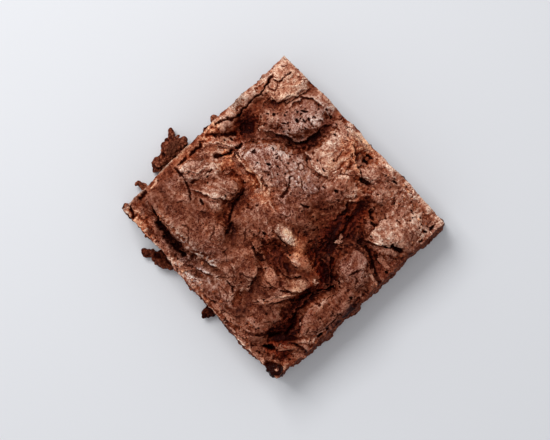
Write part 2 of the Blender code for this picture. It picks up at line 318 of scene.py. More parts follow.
# Steps where a plate of crust breaks off: route with the plate on its left, drop, and the plate's reach.
LEDGES = {
    "corner_plate": ([(-38.8, 31.4), (-34.6, 32.6), (-32.4, 36), (-31.2, 40), (-29.8, 46)], 1.5, 4.0),
    "corner_fringe": ([(-30, 33.4), (-29.4, 37), (-28.4, 41), (-25, 43.4), (-20, 44.4)], 0.7, 2.0),
    "pored_edge": ([(-33.5, 19), (-29, 21.6), (-24.4, 24.8), (-18, 26.6), (-15.8, 31), (-15, 37), (-13.6, 42)], 1.3, 4.0),
    "cushion_foot": ([(-12.8, 27), (-9.4, 25.4), (-7, 23.6), (-3.4, 23.4), (1, 25.6)], 1.1, 4.0),
    "cushion_side": ([(11, 34), (8, 37), (4, 38.4), (0.6, 40.6), (-2, 42.6)], 1.0, 3.5),
    "north_flakes": ([(-12, 42), (-7, 43.8), (0, 44), (4, 45)], 0.8, 1.6),
    "plateau_west": ([(-32.6, 9), (-31.6, 6), (-28.6, 5), (-24, 4.6), (-19, 5.6), (-14, 3)], 1.0, 3.0),
    "west_fold": ([(-36.4, -0.6), (-35, 5), (-33.8, 9.4)], 0.9, 2.0),
    "west_crest": ([(-44, 0.8), (-41, 2.8), (-39.2, 4.8), (-35, 6.8), (-33.6, 9)], 0.8, 1.6),
    "shoulder": ([(-45, -14.4), (-42, -14.6), (-40, -12.4), (-37, -10), (-35.4, -5.6)], 1.2, 2.5),
    "shoulder_inner": ([(-34.4, -17), (-31, -15), (-27, -13.8), (-23.4, -11), (-20.4, -9.6)], 0.9, 3.0),
    "inner_side": ([(-20.4, -9.8), (-20, -6), (-20.4, -2)], 0.9, 2.5),
    "dome_front": ([(-42, -31.4), (-38, -33.4), (-31, -34.6), (-25, -35.4), (-18, -35.2)], 1.0, 4.0),
    "brow_front": ([(-17, -35), (-12, -33.4), (-7, -32), (-3, -31)], 0.8, 2.2),
    "ledge_back": ([(-14, -39.6), (-8, -37), (-3, -34.4)], 0.7, 2.0),
    "bright_front": ([(1, -4.6), (6, -4.6), (11.4, -3.6)], 0.7, 2.2),
    "knoll_front": ([(11.4, -8.6), (15, -9.4), (18, -8.4)], 0.7, 2.4),
    "pale_flake": ([(9.4, 35.4), (12, 36.4), (15.4, 36.8)], 1.4, 3.0),
    "table_plate": ([(29.4, 18), (33, 20), (36.4, 22.4), (39, 25.6), (43.4, 27)], 1.5, 5.0),
    "table_side": ([(29.6, 30), (29.8, 24), (29.6, 18)], 0.8, 3.0),
    "gorge_west": ([(15.4, 14), (15.6, 20), (14.6, 25), (18.4, 29.6)], 0.8, 4.0),
    "mound_north": ([(44, 9.6), (38, 12.4), (33, 13), (28, 11.6)], 0.8, 3.0),
    "strip_west": ([(29.6, -24), (30.4, -17), (30.4, -12), (33.4, -6)], 0.9, 3.0),
    "ridge": ([(16.4, -29), (19.6, -25.4), (22.4, -20.6), (24, -18.2)], 1.0, 2.2),
    "wedge": ([(19, -18.6), (22.6, -17.6), (26, -13.4), (26.4, -10)], 0.8, 2.6),
    "south_knoll": ([(30.6, -34), (27, -39), (22, -42.6)], 0.8, 3.0),
    "corner_fold": ([(30, -41.6), (33, -38.4), (37, -35.6), (41, -33)], 1.0, 2.0),
    "pink_facet": ([(11.6, -30), (8.6, -26), (7.6, -20), (10.6, -17)], 0.8, 3.0),
}

# Larger pores and holes: centre, half length, half width, heading, depth.
PITS = (
    (-24.0, 37.4, 1.3, 0.45, 30, 1.6),
    (-20.8, 36.6, 0.7, 0.35, 0, 1.2),
    (-26.0, 35.3, 0.5, 0.4, 0, 1.2),
    (-21.4, 34.9, 0.9, 0.4, 5, 1.4),
    (-23.5, 32.7, 1.1, 0.5, -20, 1.8),
    (-19.4, 33.4, 0.5, 0.3, 40, 1.0),
    (-31.8, 28.1, 0.7, 0.5, 0, 1.6),
    (-34.0, 26.6, 0.6, 0.3, 10, 1.2),
    (-26.2, 28.7, 1.2, 0.3, 35, 1.2),
    (-28.4, 30.6, 0.5, 0.3, 0, 1.0),
    (-8.3, 39.2, 0.6, 0.45, 0, 1.4),
    (-2.2, 26.2, 1.0, 0.3, -10, 1.4),
    (-2.0, 31.6, 0.5, 0.4, 0, 1.0),
    (-6.2, 27.2, 0.4, 0.3, 0, 0.9),
    (-19.2, 12.1, 0.8, 0.5, 20, 1.8),
    (-15.9, 14.3, 0.6, 0.3, 0, 1.4),
    (-21.7, 17.2, 0.8, 0.3, -20, 1.4),
    (-26.4, 11.4, 0.5, 0.8, 0, 1.2),
    (-22.6, 9.6, 0.6, 0.3, 10, 1.0),
    (-30.4, 14.6, 0.5, 0.3, 30, 1.0),
    (-37.2, 9.0, 0.9, 0.4, 0, 1.4),
    (-38.9, 6.6, 0.5, 0.3, 0, 1.2),
    (-13.7, 6.0, 0.6, 0.4, 0, 1.2),
    (7.6, 24.1, 0.9, 0.7, 0, 1.8),
    (3.0, 21.5, 0.8, 0.3, 10, 1.0),
    (7.2, 43.4, 1.7, 0.8, 10, 1.8),
    (7.4, 40.6, 1.5, 0.9, 0, 2.2),
    (13.2, 35.0, 2.5, 1.1, 16, 3.0),
    (23.2, 28.2, 1.2, 0.9, 60, 2.0),
    (28.0, 24.8, 1.6, 0.7, 0, 2.0),
    (30.6, 21.5, 0.5, 0.3, 0, 1.4),
    (41.4, 25.0, 2.6, 1.1, 10, 3.2),
    (38.0, 22.9, 1.9, 0.8, 42, 2.6),
    (45.6, 41.0, 0.7, 1.3, 0, 1.8),
    (44.4, 37.8, 1.0, 0.5, 20, 1.6),
    (46.0, 34.0, 0.5, 1.0, 0, 1.4),
    (34.8, 39.4, 0.9, 0.4, -20, 1.2),
    (21.6, 42.8, 1.3, 0.5, 10, 1.4),
    (-27.5, -17.3, 1.3, 0.5, -15, 1.8),
    (-33.2, -8.4, 0.4, 0.5, 0, 1.2),
    (-31.4, -10.2, 0.4, 0.4, 0, 1.2),
    (-22.8, -9.0, 0.7, 0.3, 0, 1.2),
    (12.8, -7.5, 0.6, 0.5, 0, 1.2),
    (-1.0, -8.6, 0.9, 0.5, 20, 1.4),
    (43.8, -21.6, 0.6, 1.2, 0, 2.0),
    (41.6, -2.6, 0.8, 0.6, 30, 1.4),
    (33.0, -39.8, 1.6, 0.8, 15, 2.6),
    (16.4, -22.0, 0.5, 0.3, 0, 0.8),
    (45.2, 15.2, 0.8, 0.5, 0, 1.4),
    (40.4, -44.6, 4.0, 2.6, 20, 2.0),
)

# Popped bubbles that left a ring: centre, radius, depth.
RINGS = (
    (-40.4, 36.1, 2.1, 0.6),
    (33.2, -13.0, 1.6, 0.3),
    (-9.6, 20.6, 1.3, 0.3),
)

# Rough, pitted stretches of crust: centre, half sizes, heading, strength from 0 to 1.
ROUGH_PATCHES = (
    (20, 39, 13, 7, 0, 1.0),
    (36, 40, 9, 6, 0, 1.0),
    (43, 24, 3.5, 16, 0, 0.9),
    (26, 28, 6, 6, 0, 0.6),
    (44.5, -10, 2.4, 22, 0, 0.9),
    (38, -13, 6, 13, 0, 0.35),
    (22, -36, 7, 6, 0, 0.55),
    (38, -40, 8, 6, 0, 0.9),
    (4, -43, 26, 2.6, 0, 0.9),
    (-38, -42, 9, 3.6, 0, 0.7),
    (-44, -8, 2.4, 12, 0, 0.7),
    (-42, 6, 4, 5, 0, 0.5),
    (6, 41, 7, 4, 0, 0.6),
)

# Stretches of crust riddled with pores: centre, half sizes, heading, strength.
PORED_PATCHES = (
    (-22, 35, 7.5, 9, -15, 1.0),
    (-31, 29, 8, 4, 25, 0.8),
    (-14, 15, 15, 9, 10, 0.9),
    (22, 40, 16, 6, 0, 1.0),
    (36, 38, 9, 7, 0, 0.9),
    (10, 8, 9, 9, 0, 0.6),
    (0, -12, 8, 6, 0, 0.6),
    (24, -34, 7, 6, 0, 0.8),
    (34, 8, 7, 7, 0, 0.5),
    (38, -16, 6, 10, 0, 0.6),
)

# Wrinkles that the crust was pushed into: centre, half sizes, heading, spacing and height.
WRINKLES = (
    (-38, 39, 9, 8, 65, 5.0, 0.9),
    (-40, 3, 8, 6, 42, 3.2, 1.5),
    (-38, -9, 10, 6, 57, 3.4, 1.5),
    (-26, -9, 7, 7, 35, 2.8, 1.2),
    (-22, 35, 8, 9, 20, 3.2, 0.6),
    (-21, 25, 11, 4, 38, 1.8, 0.6),
    (-36, 18, 11, 5, 78, 2.6, 0.9),
    (-14, 15, 16, 9, -24, 1.7, 0.55),
    (-15, 5, 15, 3.4, -10, 2.3, 1.0),
    (-4, 35, 6, 10, 70, 4.5, 0.5),
    (3, 33, 10, 4, 84, 2.2, 0.9),
    (10, 20, 9, 9, 60, 3.2, 0.9),
    (20, 12, 17, 6, 98, 2.6, 1.0),
    (5, -10, 15, 9, -24, 3.0, 1.2),
    (-22, -26, 22, 9, 8, 4.2, 0.45),
    (2, -27, 12, 10, 62, 3.4, 0.8),
    (-10, -37, 15, 5, 18, 2.6, 1.1),
    (22, -18, 10, 7, 58, 3.0, 1.3),
    (22, -34, 9, 8, 30, 3.0, 1.1),
    (36, -34, 10, 7, 48, 3.0, 1.5),
    (33, 8, 8, 8, -58, 2.6, 0.9),
    (39, -14, 14, 6, 82, 2.8, 0.8),
    (33, 28, 9, 9, -35, 3.6, 0.8),
    (8, -40, 18, 5, -12, 2.4, 0.9),
)
WRINKLE_LENGTH = 3.2

# Where the thin crust has torn away from the redder crumb: centre, half sizes, heading.
TORN_PATCHES = (
    (-25, -1, 6.5, 2.3, -4),
    (-19, 4.6, 3.5, 1.2, -20),
    (-37, 17, 7, 3.4, 82),
    (-43, 6, 4, 2.2, 60),
    (-43.8, -8, 8, 1.5, 88),
    (-38, -41.8, 9, 3, 0),
    (-43, 33, 4, 1.4, 80),
    (6, 41.5, 4.6, 3, 10),
    (3, 35, 6, 2, 84),
    (-6, 23.6, 5.5, 1.3, -8),
    (-15.5, -15, 3.6, 1.5, -40),
    (13, 33, 4, 2, 0),
    (24, 27, 4, 2.4, -20),
    (39, 25, 4, 1.8, 30),
    (28, -3, 5, 2.4, -30),
    (21, 4, 9, 4, 80),
    (27.6, -13, 2.6, 1.8, 60),
    (38, -38, 5.5, 3.4, 40),
    (45, -12, 15, 1.4, 90),
    (4, -44, 26, 1.3, 0),
    (36, 16.5, 7, 1.5, -6),
    (10, -35, 4.5, 1.8, -50),
    (33, -27, 6, 2, 80),
)
TORN_DEPTH = 0.55

# How pale stretches of the crust are painted, laid in this order: tone, centre, half sizes, heading, strength.
# The tones are partly the crust's own, pale dry skin and dark moist chocolate, and partly painted light and shade:
# paler on slopes that face the lamp, darker in shaded valleys.
BASE_TONE = 0.50
TONE_AND_SHADE_PATCHES = (
    (0.66, -14, 14, 18, 11, 8, 0.9),
    (0.70, -27, 14, 6, 5, 30, 0.8),
    (0.70, -10, 21, 12, 3.4, 8, 0.8),
    (0.68, -22, 35, 9, 10, -12, 0.9),
    (0.62, -31, 28, 8, 4, 25, 0.8),
    (0.80, -37, 39, 8, 8, 0, 0.9),
    (0.84, -34, 44, 4, 3, 0, 0.7),
    (0.76, -45, 22, 2.6, 24, 0, 0.9),
    (0.80, -6, 34, 7.5, 11.5, 8, 0.9),
    (0.74, 4, 30, 8, 14, 20, 0.8),
    (0.84, 2, 44.4, 6, 2.6, 0, 0.8),
    (0.66, 20, 40, 14, 6, 0, 0.7),
    (0.74, 12, 31, 6, 4, -20, 0.7),
    (0.66, 2, 16, 6, 8, 20, 0.6),
    (0.78, 33, 27, 7, 9, 10, 0.8),
    (0.80, 12, 37.5, 4, 3, 0, 0.8),
    (0.66, 36, 40, 10, 6, 0, 0.7),
    (0.78, -40, 1, 7, 3.4, 42, 0.8),
    (0.76, -38.5, -7.5, 9.5, 4.2, 57, 0.8),
    (0.80, -34, -1.6, 6, 2.6, 30, 0.8),
    (0.72, -26, -9, 6.5, 6, 30, 0.8),
    (0.74, -27, 5.5, 8, 4.6, 0, 0.8),
    (0.70, -13, 3.6, 10, 3.6, -8, 0.8),
    (0.66, -10, -5, 8, 5, -20, 0.5),
    (0.56, 34, 7, 6, 6, 0, 0.8),
    (0.72, 36, 9.6, 4, 3, 20, 0.6),
    (0.32, 11, 15, 10, 13, 60, 0.6),
    (0.14, 19, 15, 4.5, 15, 0, 0.85),
    (0.14, 28, -2, 7, 3.4, -38, 0.75),
    (0.16, -37, 17, 4.5, 9, 10, 0.85),
    (0.18, -14, 33, 2.2, 12, 0, 0.7),
    (0.26, -23, 22.6, 8, 2.0, 38, 0.7),
    (0.24, 36, 14.4, 10, 2.6, -14, 0.7),
    (0.16, 29, -15, 2.6, 13, -4, 0.8),
    (0.14, 32, -30, 4.6, 9, -8, 0.85),
    (0.06, -26, -37, 8, 1.8, -9, 0.9),
    (0.22, -18.4, -7, 2, 5, 0, 0.8),
    (0.26, -12, -16.6, 2.4, 3.4, 20, 0.7),
    (0.30, 8, -11, 8, 3.6, 0, 0.7),
    (0.34, 16, -17, 5, 5, 0, 0.5),
    (0.34, 9, -22, 2.2, 6, 10, 0.5),
    (0.34, 24, -37, 9, 5, 10, 0.6),
    (0.30, 12, -39, 4, 3.4, -40, 0.6),
    # Painted highlight, in part: this row, the next three and the row at (-9, -32.6) paint pale streaks of sheen where
    # facets face the lamp.
    (0.62, -7, 5.5, 5, 3, -15, 0.6),
    (0.92, 7, -2.6, 5.4, 1.5, -2, 0.8),
    (0.76, 15, -6.4, 2.8, 2.4, 20, 0.7),
    (0.78, 22.4, -14.6, 2.4, 3.2, -30, 0.75),
    (0.66, 11.5, -20, 3.2, 4.4, 75, 0.7),
    (0.66, -24, -33.2, 8, 1.7, -4, 0.7),
    (0.70, -9, -32.6, 8, 2, 24, 0.7),
    (0.72, -8, -39, 9, 3, 16, 0.7),
    (0.62, 2, -32, 4, 3, 0, 0.5),
    (0.64, 21, -38.6, 4, 3, 10, 0.6),
    (0.80, 21.6, -22.4, 7, 0.8, 62, 0.7),
    (0.86, 18, -28.6, 2.0, 0.7, 12, 0.8),
    (0.72, -14, -42.4, 8, 1.6, -4, 0.7),
    (0.62, -39, -38.4, 8, 3.4, 0, 0.6),
    (0.46, -46, -14, 1.6, 18, 2, 0.8),
    (0.62, 39, -14, 5, 10, 0, 0.5),
    (0.74, 40.4, -3, 3, 3, 0, 0.6),
    (0.70, 42, -26, 3, 3.6, 0, 0.6),
    (0.70, 43, -34.6, 3, 2.6, 30, 0.6),
)

# Where the crust is painted paler or darker than the stretches above say: change of tone, centre, half sizes, heading.
# These changes are partly the crust's own tone and partly painted light and shade of its relief.
TONE_AND_SHADE_FIXES = (
    (0.12, -12, 45.4, 30, 1.8, -1),
    (0.24, -15, 44.6, 3, 3, 0),
    (0.24, 31, 44.8, 15, 2.2, -1),
    (0.18, 4, 44.6, 5, 2.0, 0),
    (0.28, 45.4, 37, 2.4, 7, 0),
    (0.16, -45, 43, 3, 6, 0),
    (0.20, 15.5, 24.5, 3.4, 6, 0),
    (0.10, 21, 33, 3, 2.6, 0),
    (0.15, 3, 30, 3, 6, 0),
    (0.26, -36.5, 10.5, 6, 4.5, 0),
    (0.18, -33, 3, 3.5, 3, 0),
    (0.16, -45.5, 22, 2.5, 4, 0),
    (0.18, -18, 2, 7, 4, 0),
    (0.16, -3, 19, 6, 5, 0),
    (0.10, 3, 14, 3, 3, 0),
    (0.16, -23, 20.5, 8, 4, 20),
    (0.10, -15.5, 27, 3, 3, 0),
    (0.08, -15, 39, 2.5, 3, 0),
    (0.12, -38, 25, 5, 5, 0),
    (0.10, 40, 39, 4, 4, 0),
    (0.04, -10, -35, 9, 4, 0),
    (0.18, -30, -15.5, 9, 3, 0),
    (0.14, 4, -12, 4, 5, 0),
    (0.18, -45, -9, 2.6, 5, 0),
    (0.14, -45, 3, 2.4, 3, 0),
    (0.08, -38, -20, 6, 4, 0),
    (0.16, -40, -39, 5, 3, 0),
    (0.08, -30, -32, 6, 3, 0),
    (0.16, 9, -34, 3, 8, 0),
    (0.14, 21, -40, 3, 3, 0),
    (0.07, 15, -9, 3, 3, 0),
    (0.10, 45, -24, 2.4, 6, 0),
    (0.10, 9, -21, 3, 3, 0),
    (-0.10, -28, 36, 4, 4, 0),
    (-0.11, 18, 40, 5, 4, 0),
    (-0.12, -9, 30, 3, 6, 0),
    (-0.14, 9, 28, 3, 3, 0),
    (-0.10, 9, 34, 3, 3, 0),
    (-0.13, 27, 27, 4, 3, 0),
    (-0.12, 27, 20, 3, 4, 0),
    (-0.16, 27, 14, 4, 3, 0),
    (-0.32, 21, 9, 3, 3, 0),
    (-0.13, 33, 9, 3, 3, 0),
    (-0.11, 28, 3, 4, 5, 0),
    (-0.12, 3, 8, 3, 4, 0),
    (-0.05, -10, -9, 5, 5, 0),
    (-0.07, 12, -4, 4, 3, 0),
    (-0.22, 40, -3, 3, 3, 0),
    (-0.18, 45, -8, 2.5, 7, 0),
    (-0.19, 40, -15, 3, 10, 0),
    (-0.08, 4, -21, 4, 3, 0),
    (-0.10, 21, -15, 3, 3, 0),
    (-0.20, 21, -28, 4, 5, 0),
    (-0.22, 15, -38, 3, 3, 0),
    (-0.12, 27, -38, 3, 4, 0),
    (-0.24, 36, -34, 5, 5, 0),
    (0.22, 43.6, -41, 2.2, 2.6, 0),
    (-0.12, -39, -9, 3, 3, 0),
    (-0.08, -27, -8, 3, 3, 0),
    (-0.12, -45, 15, 2.5, 3, 0),
    (-0.12, -42, -27, 6, 3.5, 0),
    (-0.10, 44, 23, 3, 7, 0),
    (-0.06, 36, 4, 4, 4, 0),
    (-0.06, -27, -37, 4, 4, 0),
)

# Thin crests where the skin stands on edge: route, half width, height, change of tone.
CRESTS = {
    "lip_west": ([(-47.4, -3), (-47.9, -16), (-48.3, -19), (-47.9, -23)], 0.5, 0.3, 0.34),
    "lip_west_low": ([(-47.6, -23), (-46.2, -24.8), (-45.3, -28.5)], 0.4, 0.5, 0.30),
    "fold_crest": ([(-41.2, 2.7), (-38, 5.4), (-34.2, 8)], 0.5, 0.6, 0.22),
    "fold_inner": ([(-36.8, 0), (-35.4, 5)], 0.5, 0.5, 0.20),
    "brow": ([(-16, -34.4), (-10, -32), (-4, -29.8)], 0.5, 0.4, 0.16),
    "ridge": ([(19, -28), (21.4, -23.4), (23.6, -19)], 0.5, 0.6, 0.24),
    "foot": ([(5, -41.5), (7.2, -42.4), (9.4, -43.8)], 0.5, 0.5, 0.20),
    "table": ([(35.4, 22.6), (38.6, 25.2), (41.2, 26.6)], 0.5, 0.5, 0.20),
    "north": ([(-11.6, 42.8), (-7, 43.6), (-2, 43.2)], 0.45, 0.5, 0.22),
    "north_inner": ([(-5, 41.6), (0, 42.2), (4, 44)], 0.4, 0.4, 0.18),
    "valley": ([(-13.6, 31.4), (-13, 27), (-11.4, 25.6)], 0.4, 0.4, 0.26),
    "gorge": ([(26.4, -7), (28.4, -8.4)], 0.45, 0.5, 0.34),
}

# Casts of colour over the crust: hue, centre, half sizes, heading, strength.
# The wine casts are partly painted shade, the maroon of the deep shaded valleys. The grey casts are partly painted
# reflection, the greyish sheen where facets face the lamp.
CASTS = (
    ("mauve", -18, 15, 18, 9, 8, 0.9),
    ("mauve", 0, 19, 8, 5, 0, 0.5),
    ("mauve", 4, 29, 4, 5, 0, 0.6),
    ("mauve", -3, 4, 5, 4, 0, 0.8),
    ("mauve", 12, 4, 4, 4, 0, 0.6),
    ("mauve", -44, 4, 4, 4, 0, 0.9),
    ("mauve", -44, -20, 4, 5, 0, 0.7),
    ("mauve", -18, -36, 16, 4, 8, 0.9),
    ("mauve", -6, -40, 12, 4, 8, 0.8),
    ("mauve", -10, -28, 6, 4, 0, 0.5),
    ("wine", 19, 14, 5, 13, 0, 1.0),
    ("wine", 28, -2, 6, 4, -38, 0.9),
    ("wine", 29, -14, 3, 12, -4, 0.8),
    ("wine", 32, -29, 5, 9, -8, 0.9),
    ("wine", 36, -37, 5, 4, 30, 0.8),
    ("wine", 40, 15, 8, 4, -14, 0.6),
    ("wine", -37, 16, 4, 8, 8, 0.6),
    ("wine", -14.5, 33, 2, 10, 0, 0.6),
    ("wine", 8, -11, 8, 4, 0, 0.5),
    ("mauve", -22, 35, 8.5, 10, -12, 0.9),
    ("mauve", 32, 8, 8, 8, 0, 0.5),
    ("mauve", 10, 20, 10, 6, 10, 0.5),
    ("rust", -25, 1.6, 9, 5, -5, 1.0),
    ("rust", -32, 2, 4, 5, 0, 0.9),
    ("rust", -13, 3, 10, 4, -12, 0.8),
    ("rust", 3, 42, 8, 6, 0, 1.0),
    ("rust", 3, 31, 7, 9, 0, 0.6),
    ("rust", -38, -41, 9, 4, 0, 0.9),
    ("rust", -42, 4, 6, 6, 0, 0.8),
    ("rust", -37, 17, 6, 9, 0, 0.8),
    ("rust", -37, 36, 9, 9, 0, 0.5),
    ("rust", 17, 12, 12, 16, 0, 0.8),
    ("rust", 18, -3, 12, 6, -10, 1.0),
    ("rust", 8, -16, 12, 8, 0, 0.6),
    ("rust", 38, -36, 8, 8, 30, 0.8),
    ("rust", 26, -16, 6, 10, 0, 0.6),
    ("rust", -46, -8, 2.4, 22, 0, 1.0),
    ("rust", -17, -12, 4, 8, 0, 0.9),
    ("grey", 7, -2.6, 8, 3, 0, 0.8),
    ("grey", -20, -33, 14, 3, 0, 0.7),
    ("grey", -8, -36, 14, 5, 20, 0.7),
    ("grey", 22, -14, 3, 4, -30, 0.8),
)


def beside_route(x, y, route):
    """How far each point is from a route of straight runs, on which side (1 is left), and how far along it."""
    nearest = np.full(x.shape, FAR)
    side = np.ones(x.shape)
    share = np.zeros(x.shape)
    lengths = [math.dist(start, end) for start, end in zip(route, route[1:])]
    passed = 0.0
    for (ax, ay), (bx, by), length in zip(route, route[1:], lengths):
        way_x, way_y = (bx - ax) / length, (by - ay) / length
        along = np.clip((x - ax) * way_x + (y - ay) * way_y, 0, length)
        away = np.hypot(x - ax - along * way_x, y - ay - along * way_y)
        closer = away < nearest
        left = np.sign(way_x * (y - ay) - way_y * (x - ax))
        nearest = np.where(closer, away, nearest)
        side = np.where(closer, left, side)
        share = np.where(closer, (passed + along) / sum(lengths), share)
        passed += length
    return nearest, side, share


def patch_share(x, y, centre_x, centre_y, length, width, heading, strength, ragged, softer=0.0):
    """Weight of a soft patch with a ragged edge."""
    turn = math.radians(heading)
    away_x, away_y = x - centre_x, y - centre_y
    along = (away_x * math.cos(turn) + away_y * math.sin(turn)) / length
    across = (away_y * math.cos(turn) - away_x * math.sin(turn)) / width
    return strength * smoothstep(1.3 + softer, 0.6 - softer, np.hypot(along, across) + ragged)


def crust_places():
    """The crust's grid of x and y, fitted between the four cut sides."""
    u, v = np.meshgrid(np.linspace(0, 1, CRUST_STEPS + 1), np.linspace(0, 1, CRUST_STEPS + 1), indexing="ij")
    south, north = side_line("south", u), side_line("north", u)
    places = south + (north - south) * v[..., None]
    shares = {"south": (u, 1 - v), "north": (u, v), "west": (v, 1 - u), "east": (v, u)}
    for side, (along, near) in shares.items():
        stray = stray_at(side, along, STRAYS) - CRUST_INSET[side]
        places += np.array(OUTWARD[side]) * (stray * near**3)[..., None]
    return places[..., 0], places[..., 1]


# How much nearer to level the rim is than the solid's, and how much paler its lip is painted, on each side: partly the
# crust's pale broken edge, partly painted light that lifts the shade of its sloping rim.
RIM_LIFT = {"south": 0.9, "north": 1.7, "west": 1.3, "east": 0.9}
RIM_LIFT_REACH = 3.2
RIM_PALER = {"south": 0.36, "north": 0.24, "west": 0.28, "east": 0.0}
RIM_PALER_REACH = 3.6


def along_rims(aways, amounts, reach):
    """Each side's amount, fading out over the reach from its rim."""
    return sum(amounts[side] * np.clip(1 - away / reach, 0, 1) ** 2 for side, away in aways.items())


def flat_points(x, y, z=0.0):
    return np.column_stack([x.ravel(), y.ravel(), np.full(x.size, z) if np.isscalar(z) else z.ravel()])


def crust_fields():
    """Everything that the crust's surface is made from, as grids."""
    x, y = crust_places()
    shape = x.shape
    points = flat_points(x, y)

    def wave(turn, wavelength):
        return NOISE[turn].smooth(points, wavelength).reshape(shape)

    step = (x[-1, 0] - x[0, 0]) / CRUST_STEPS
    aways = {"west": x - x[0], "east": x[-1] - x, "south": y - y[:, :1], "north": y[:, -1:] - y}
    base = interpolated(SAMPLE_PLACES, SAMPLE_HEIGHTS, x, y) + along_rims(aways, RIM_LIFT, RIM_LIFT_REACH)
    bend_x = 0.6 * wave(0, 4.0) + 0.45 * wave(1, 1.6) + 0.3 * wave(9, 0.9)
    bend_y = 0.6 * wave(2, 4.0) + 0.45 * wave(3, 1.6) + 0.3 * wave(10, 0.9)
    bent = (x + bend_x, y + bend_y)
    fields = {
        "x": x, "y": y, "base": base, "step": step, "wave": wave, "bent": bent,
        "ragged": 0.22 * wave(4, 5.0) + 0.26 * wave(5, 1.8) + 0.2 * wave(6, 0.8),
        "edge": np.minimum.reduce(list(aways.values())),
        "rim": along_rims(aways, RIM_PALER, RIM_PALER_REACH),
    }
    fields["torn"] = torn_share(fields)
    fields["cracks"], crack_relief = cracked(fields)
    fields["foot"], fields["lip"], ledge_relief = stepped(fields)
    fields["pores"], pore_relief = pored(fields)
    fields["crests"], crest_relief = crested(fields)
    torn = np.maximum(fields["torn"], 0.8 * fields["foot"])
    rough = np.maximum(sum_of_patches(x, y, ROUGH_PATCHES, fields["ragged"]), torn)
    first = NOISE[0].cells(flat_points(*bent), 1.5)[0].reshape(shape)
    detail = 0.6 * np.abs(wave(7, 6.5)) + 0.5 * np.abs(wave(8, 3.0)) + 0.25 * np.abs(wave(9, 1.5)) - 0.4
    detail += 0.12 * wave(10, 0.95) + 0.08 * wave(11, 0.6)
    detail += rough * (0.8 * (0.5 - first) + 0.5 * wave(1, 1.1) + 0.5 * wave(2, 2.6)) - TORN_DEPTH * torn
    detail += (1 - 0.5 * rough) * flaked(fields)
    detail += wrinkled(fields) + crack_relief + ledge_relief + pore_relief + crest_relief
    fields["torn"] = torn
    fields["rough"] = rough
    fields["height"] = base + detail
    fields["soft_height"] = blurred(fields["height"], 0.5 / step)
    return fields


# Short creases along the wrinkles: how many for each square millimetre, and the ranges of their sizes.
CREASES_PER_AREA = 0.022
CREASE_LENGTH = (2.0, 8.0)
CREASE_HALF_WIDTH = (0.14, 0.28)
CREASE_DEPTH = (0.3, 0.8)
CREASE_LIFT = (0.2, 0.6)
CREASE_PARTS = 5
CREASE_TURN = 0.28
CREASE_REACH = 3.0


def creases():
    """Short wandering creases, more or less along the heading of the wrinkles about them."""
    random = np.random.default_rng(31)
    found = []
    for centre_x, centre_y, length, width, heading, _, _ in WRINKLES:
        for _ in range(round(CREASES_PER_AREA * math.pi * length * width)):
            out, around = math.sqrt(random.random()), random.uniform(0, 2 * math.pi)
            along, across = length * out * math.cos(around), width * out * math.sin(around)
            turn = math.radians(heading)
            x = centre_x + along * math.cos(turn) - across * math.sin(turn)
            y = centre_y + along * math.sin(turn) + across * math.cos(turn)
            way = turn + random.normal(0, 0.5)
            part = random.uniform(*CREASE_LENGTH) / CREASE_PARTS
            route = [(x, y)]
            for _ in range(CREASE_PARTS):
                way += random.normal(0, CREASE_TURN)
                x, y = x + part * math.cos(way), y + part * math.sin(way)
                route.append((x, y))
            sizes = (random.uniform(*span) for span in (CREASE_HALF_WIDTH, CREASE_DEPTH, CREASE_LIFT))
            found.append((route, *sizes))
    return found


def creased(fields):
    """Where the short creases are open, and their relief: one side of each stands higher."""
    bent_x, bent_y = fields["bent"]
    open_share = np.zeros(bent_x.shape)
    relief = np.zeros(bent_x.shape)
    for route, half_width, depth, lift in creases():
        (low_x, low_y), (high_x, high_y) = np.min(route, axis=0) - CREASE_REACH, np.max(route, axis=0) + CREASE_REACH
        near = (bent_x > low_x) & (bent_x < high_x) & (bent_y > low_y) & (bent_y < high_y)
        if not near.any():
            continue
        away, side, share = beside_route(bent_x[near], bent_y[near], route)
        taper = np.sqrt(np.clip(4 * share * (1 - share), 0, 1))
        gap = np.exp(-((away / half_width) ** 2)) * taper
        raised = np.exp(-away / 1.2) * (side > 0) * taper
        relief[near] += lift * raised - depth * gap
        open_share[near] = np.maximum(open_share[near], gap * (0.4 + 0.5 * depth))
    return open_share, relief


def cracked(fields):
    """Where the cracks and creases are open, and their relief."""
    wave = fields["wave"]
    narrowing = 0.8 + 0.8 * wave(5, 2.6) + 0.35 * wave(6, 0.9)
    cracks, relief = creased(fields)
    for route, half_width, depth, lift in CRACKS.values():
        away = beside_route(*fields["bent"], route)[0]
        width = np.clip(half_width * narrowing, 0.05, 1.6 * half_width)
        open_share = smoothstep(0.1, 0.5, width / half_width)
        gap = np.exp(-((away / width) ** 2)) * open_share
        relief += lift * np.exp(-(((away - 2.0 * half_width) / 0.9) ** 2)) * open_share - depth * gap
        cracks = np.maximum(cracks, gap * min(1.0, depth / 1.2))
    x, y = fields["bent"]
    for centre_x, centre_y, radius, depth in RINGS:
        away = np.abs(np.hypot(x - centre_x, y - centre_y) - radius)
        gap = np.exp(-((away / 0.28) ** 2)) * smoothstep(-0.5, 0.2, wave(2, 3.0) + 0.3)
        relief -= depth * gap
        cracks = np.maximum(cracks, 0.7 * gap)
    return cracks, relief


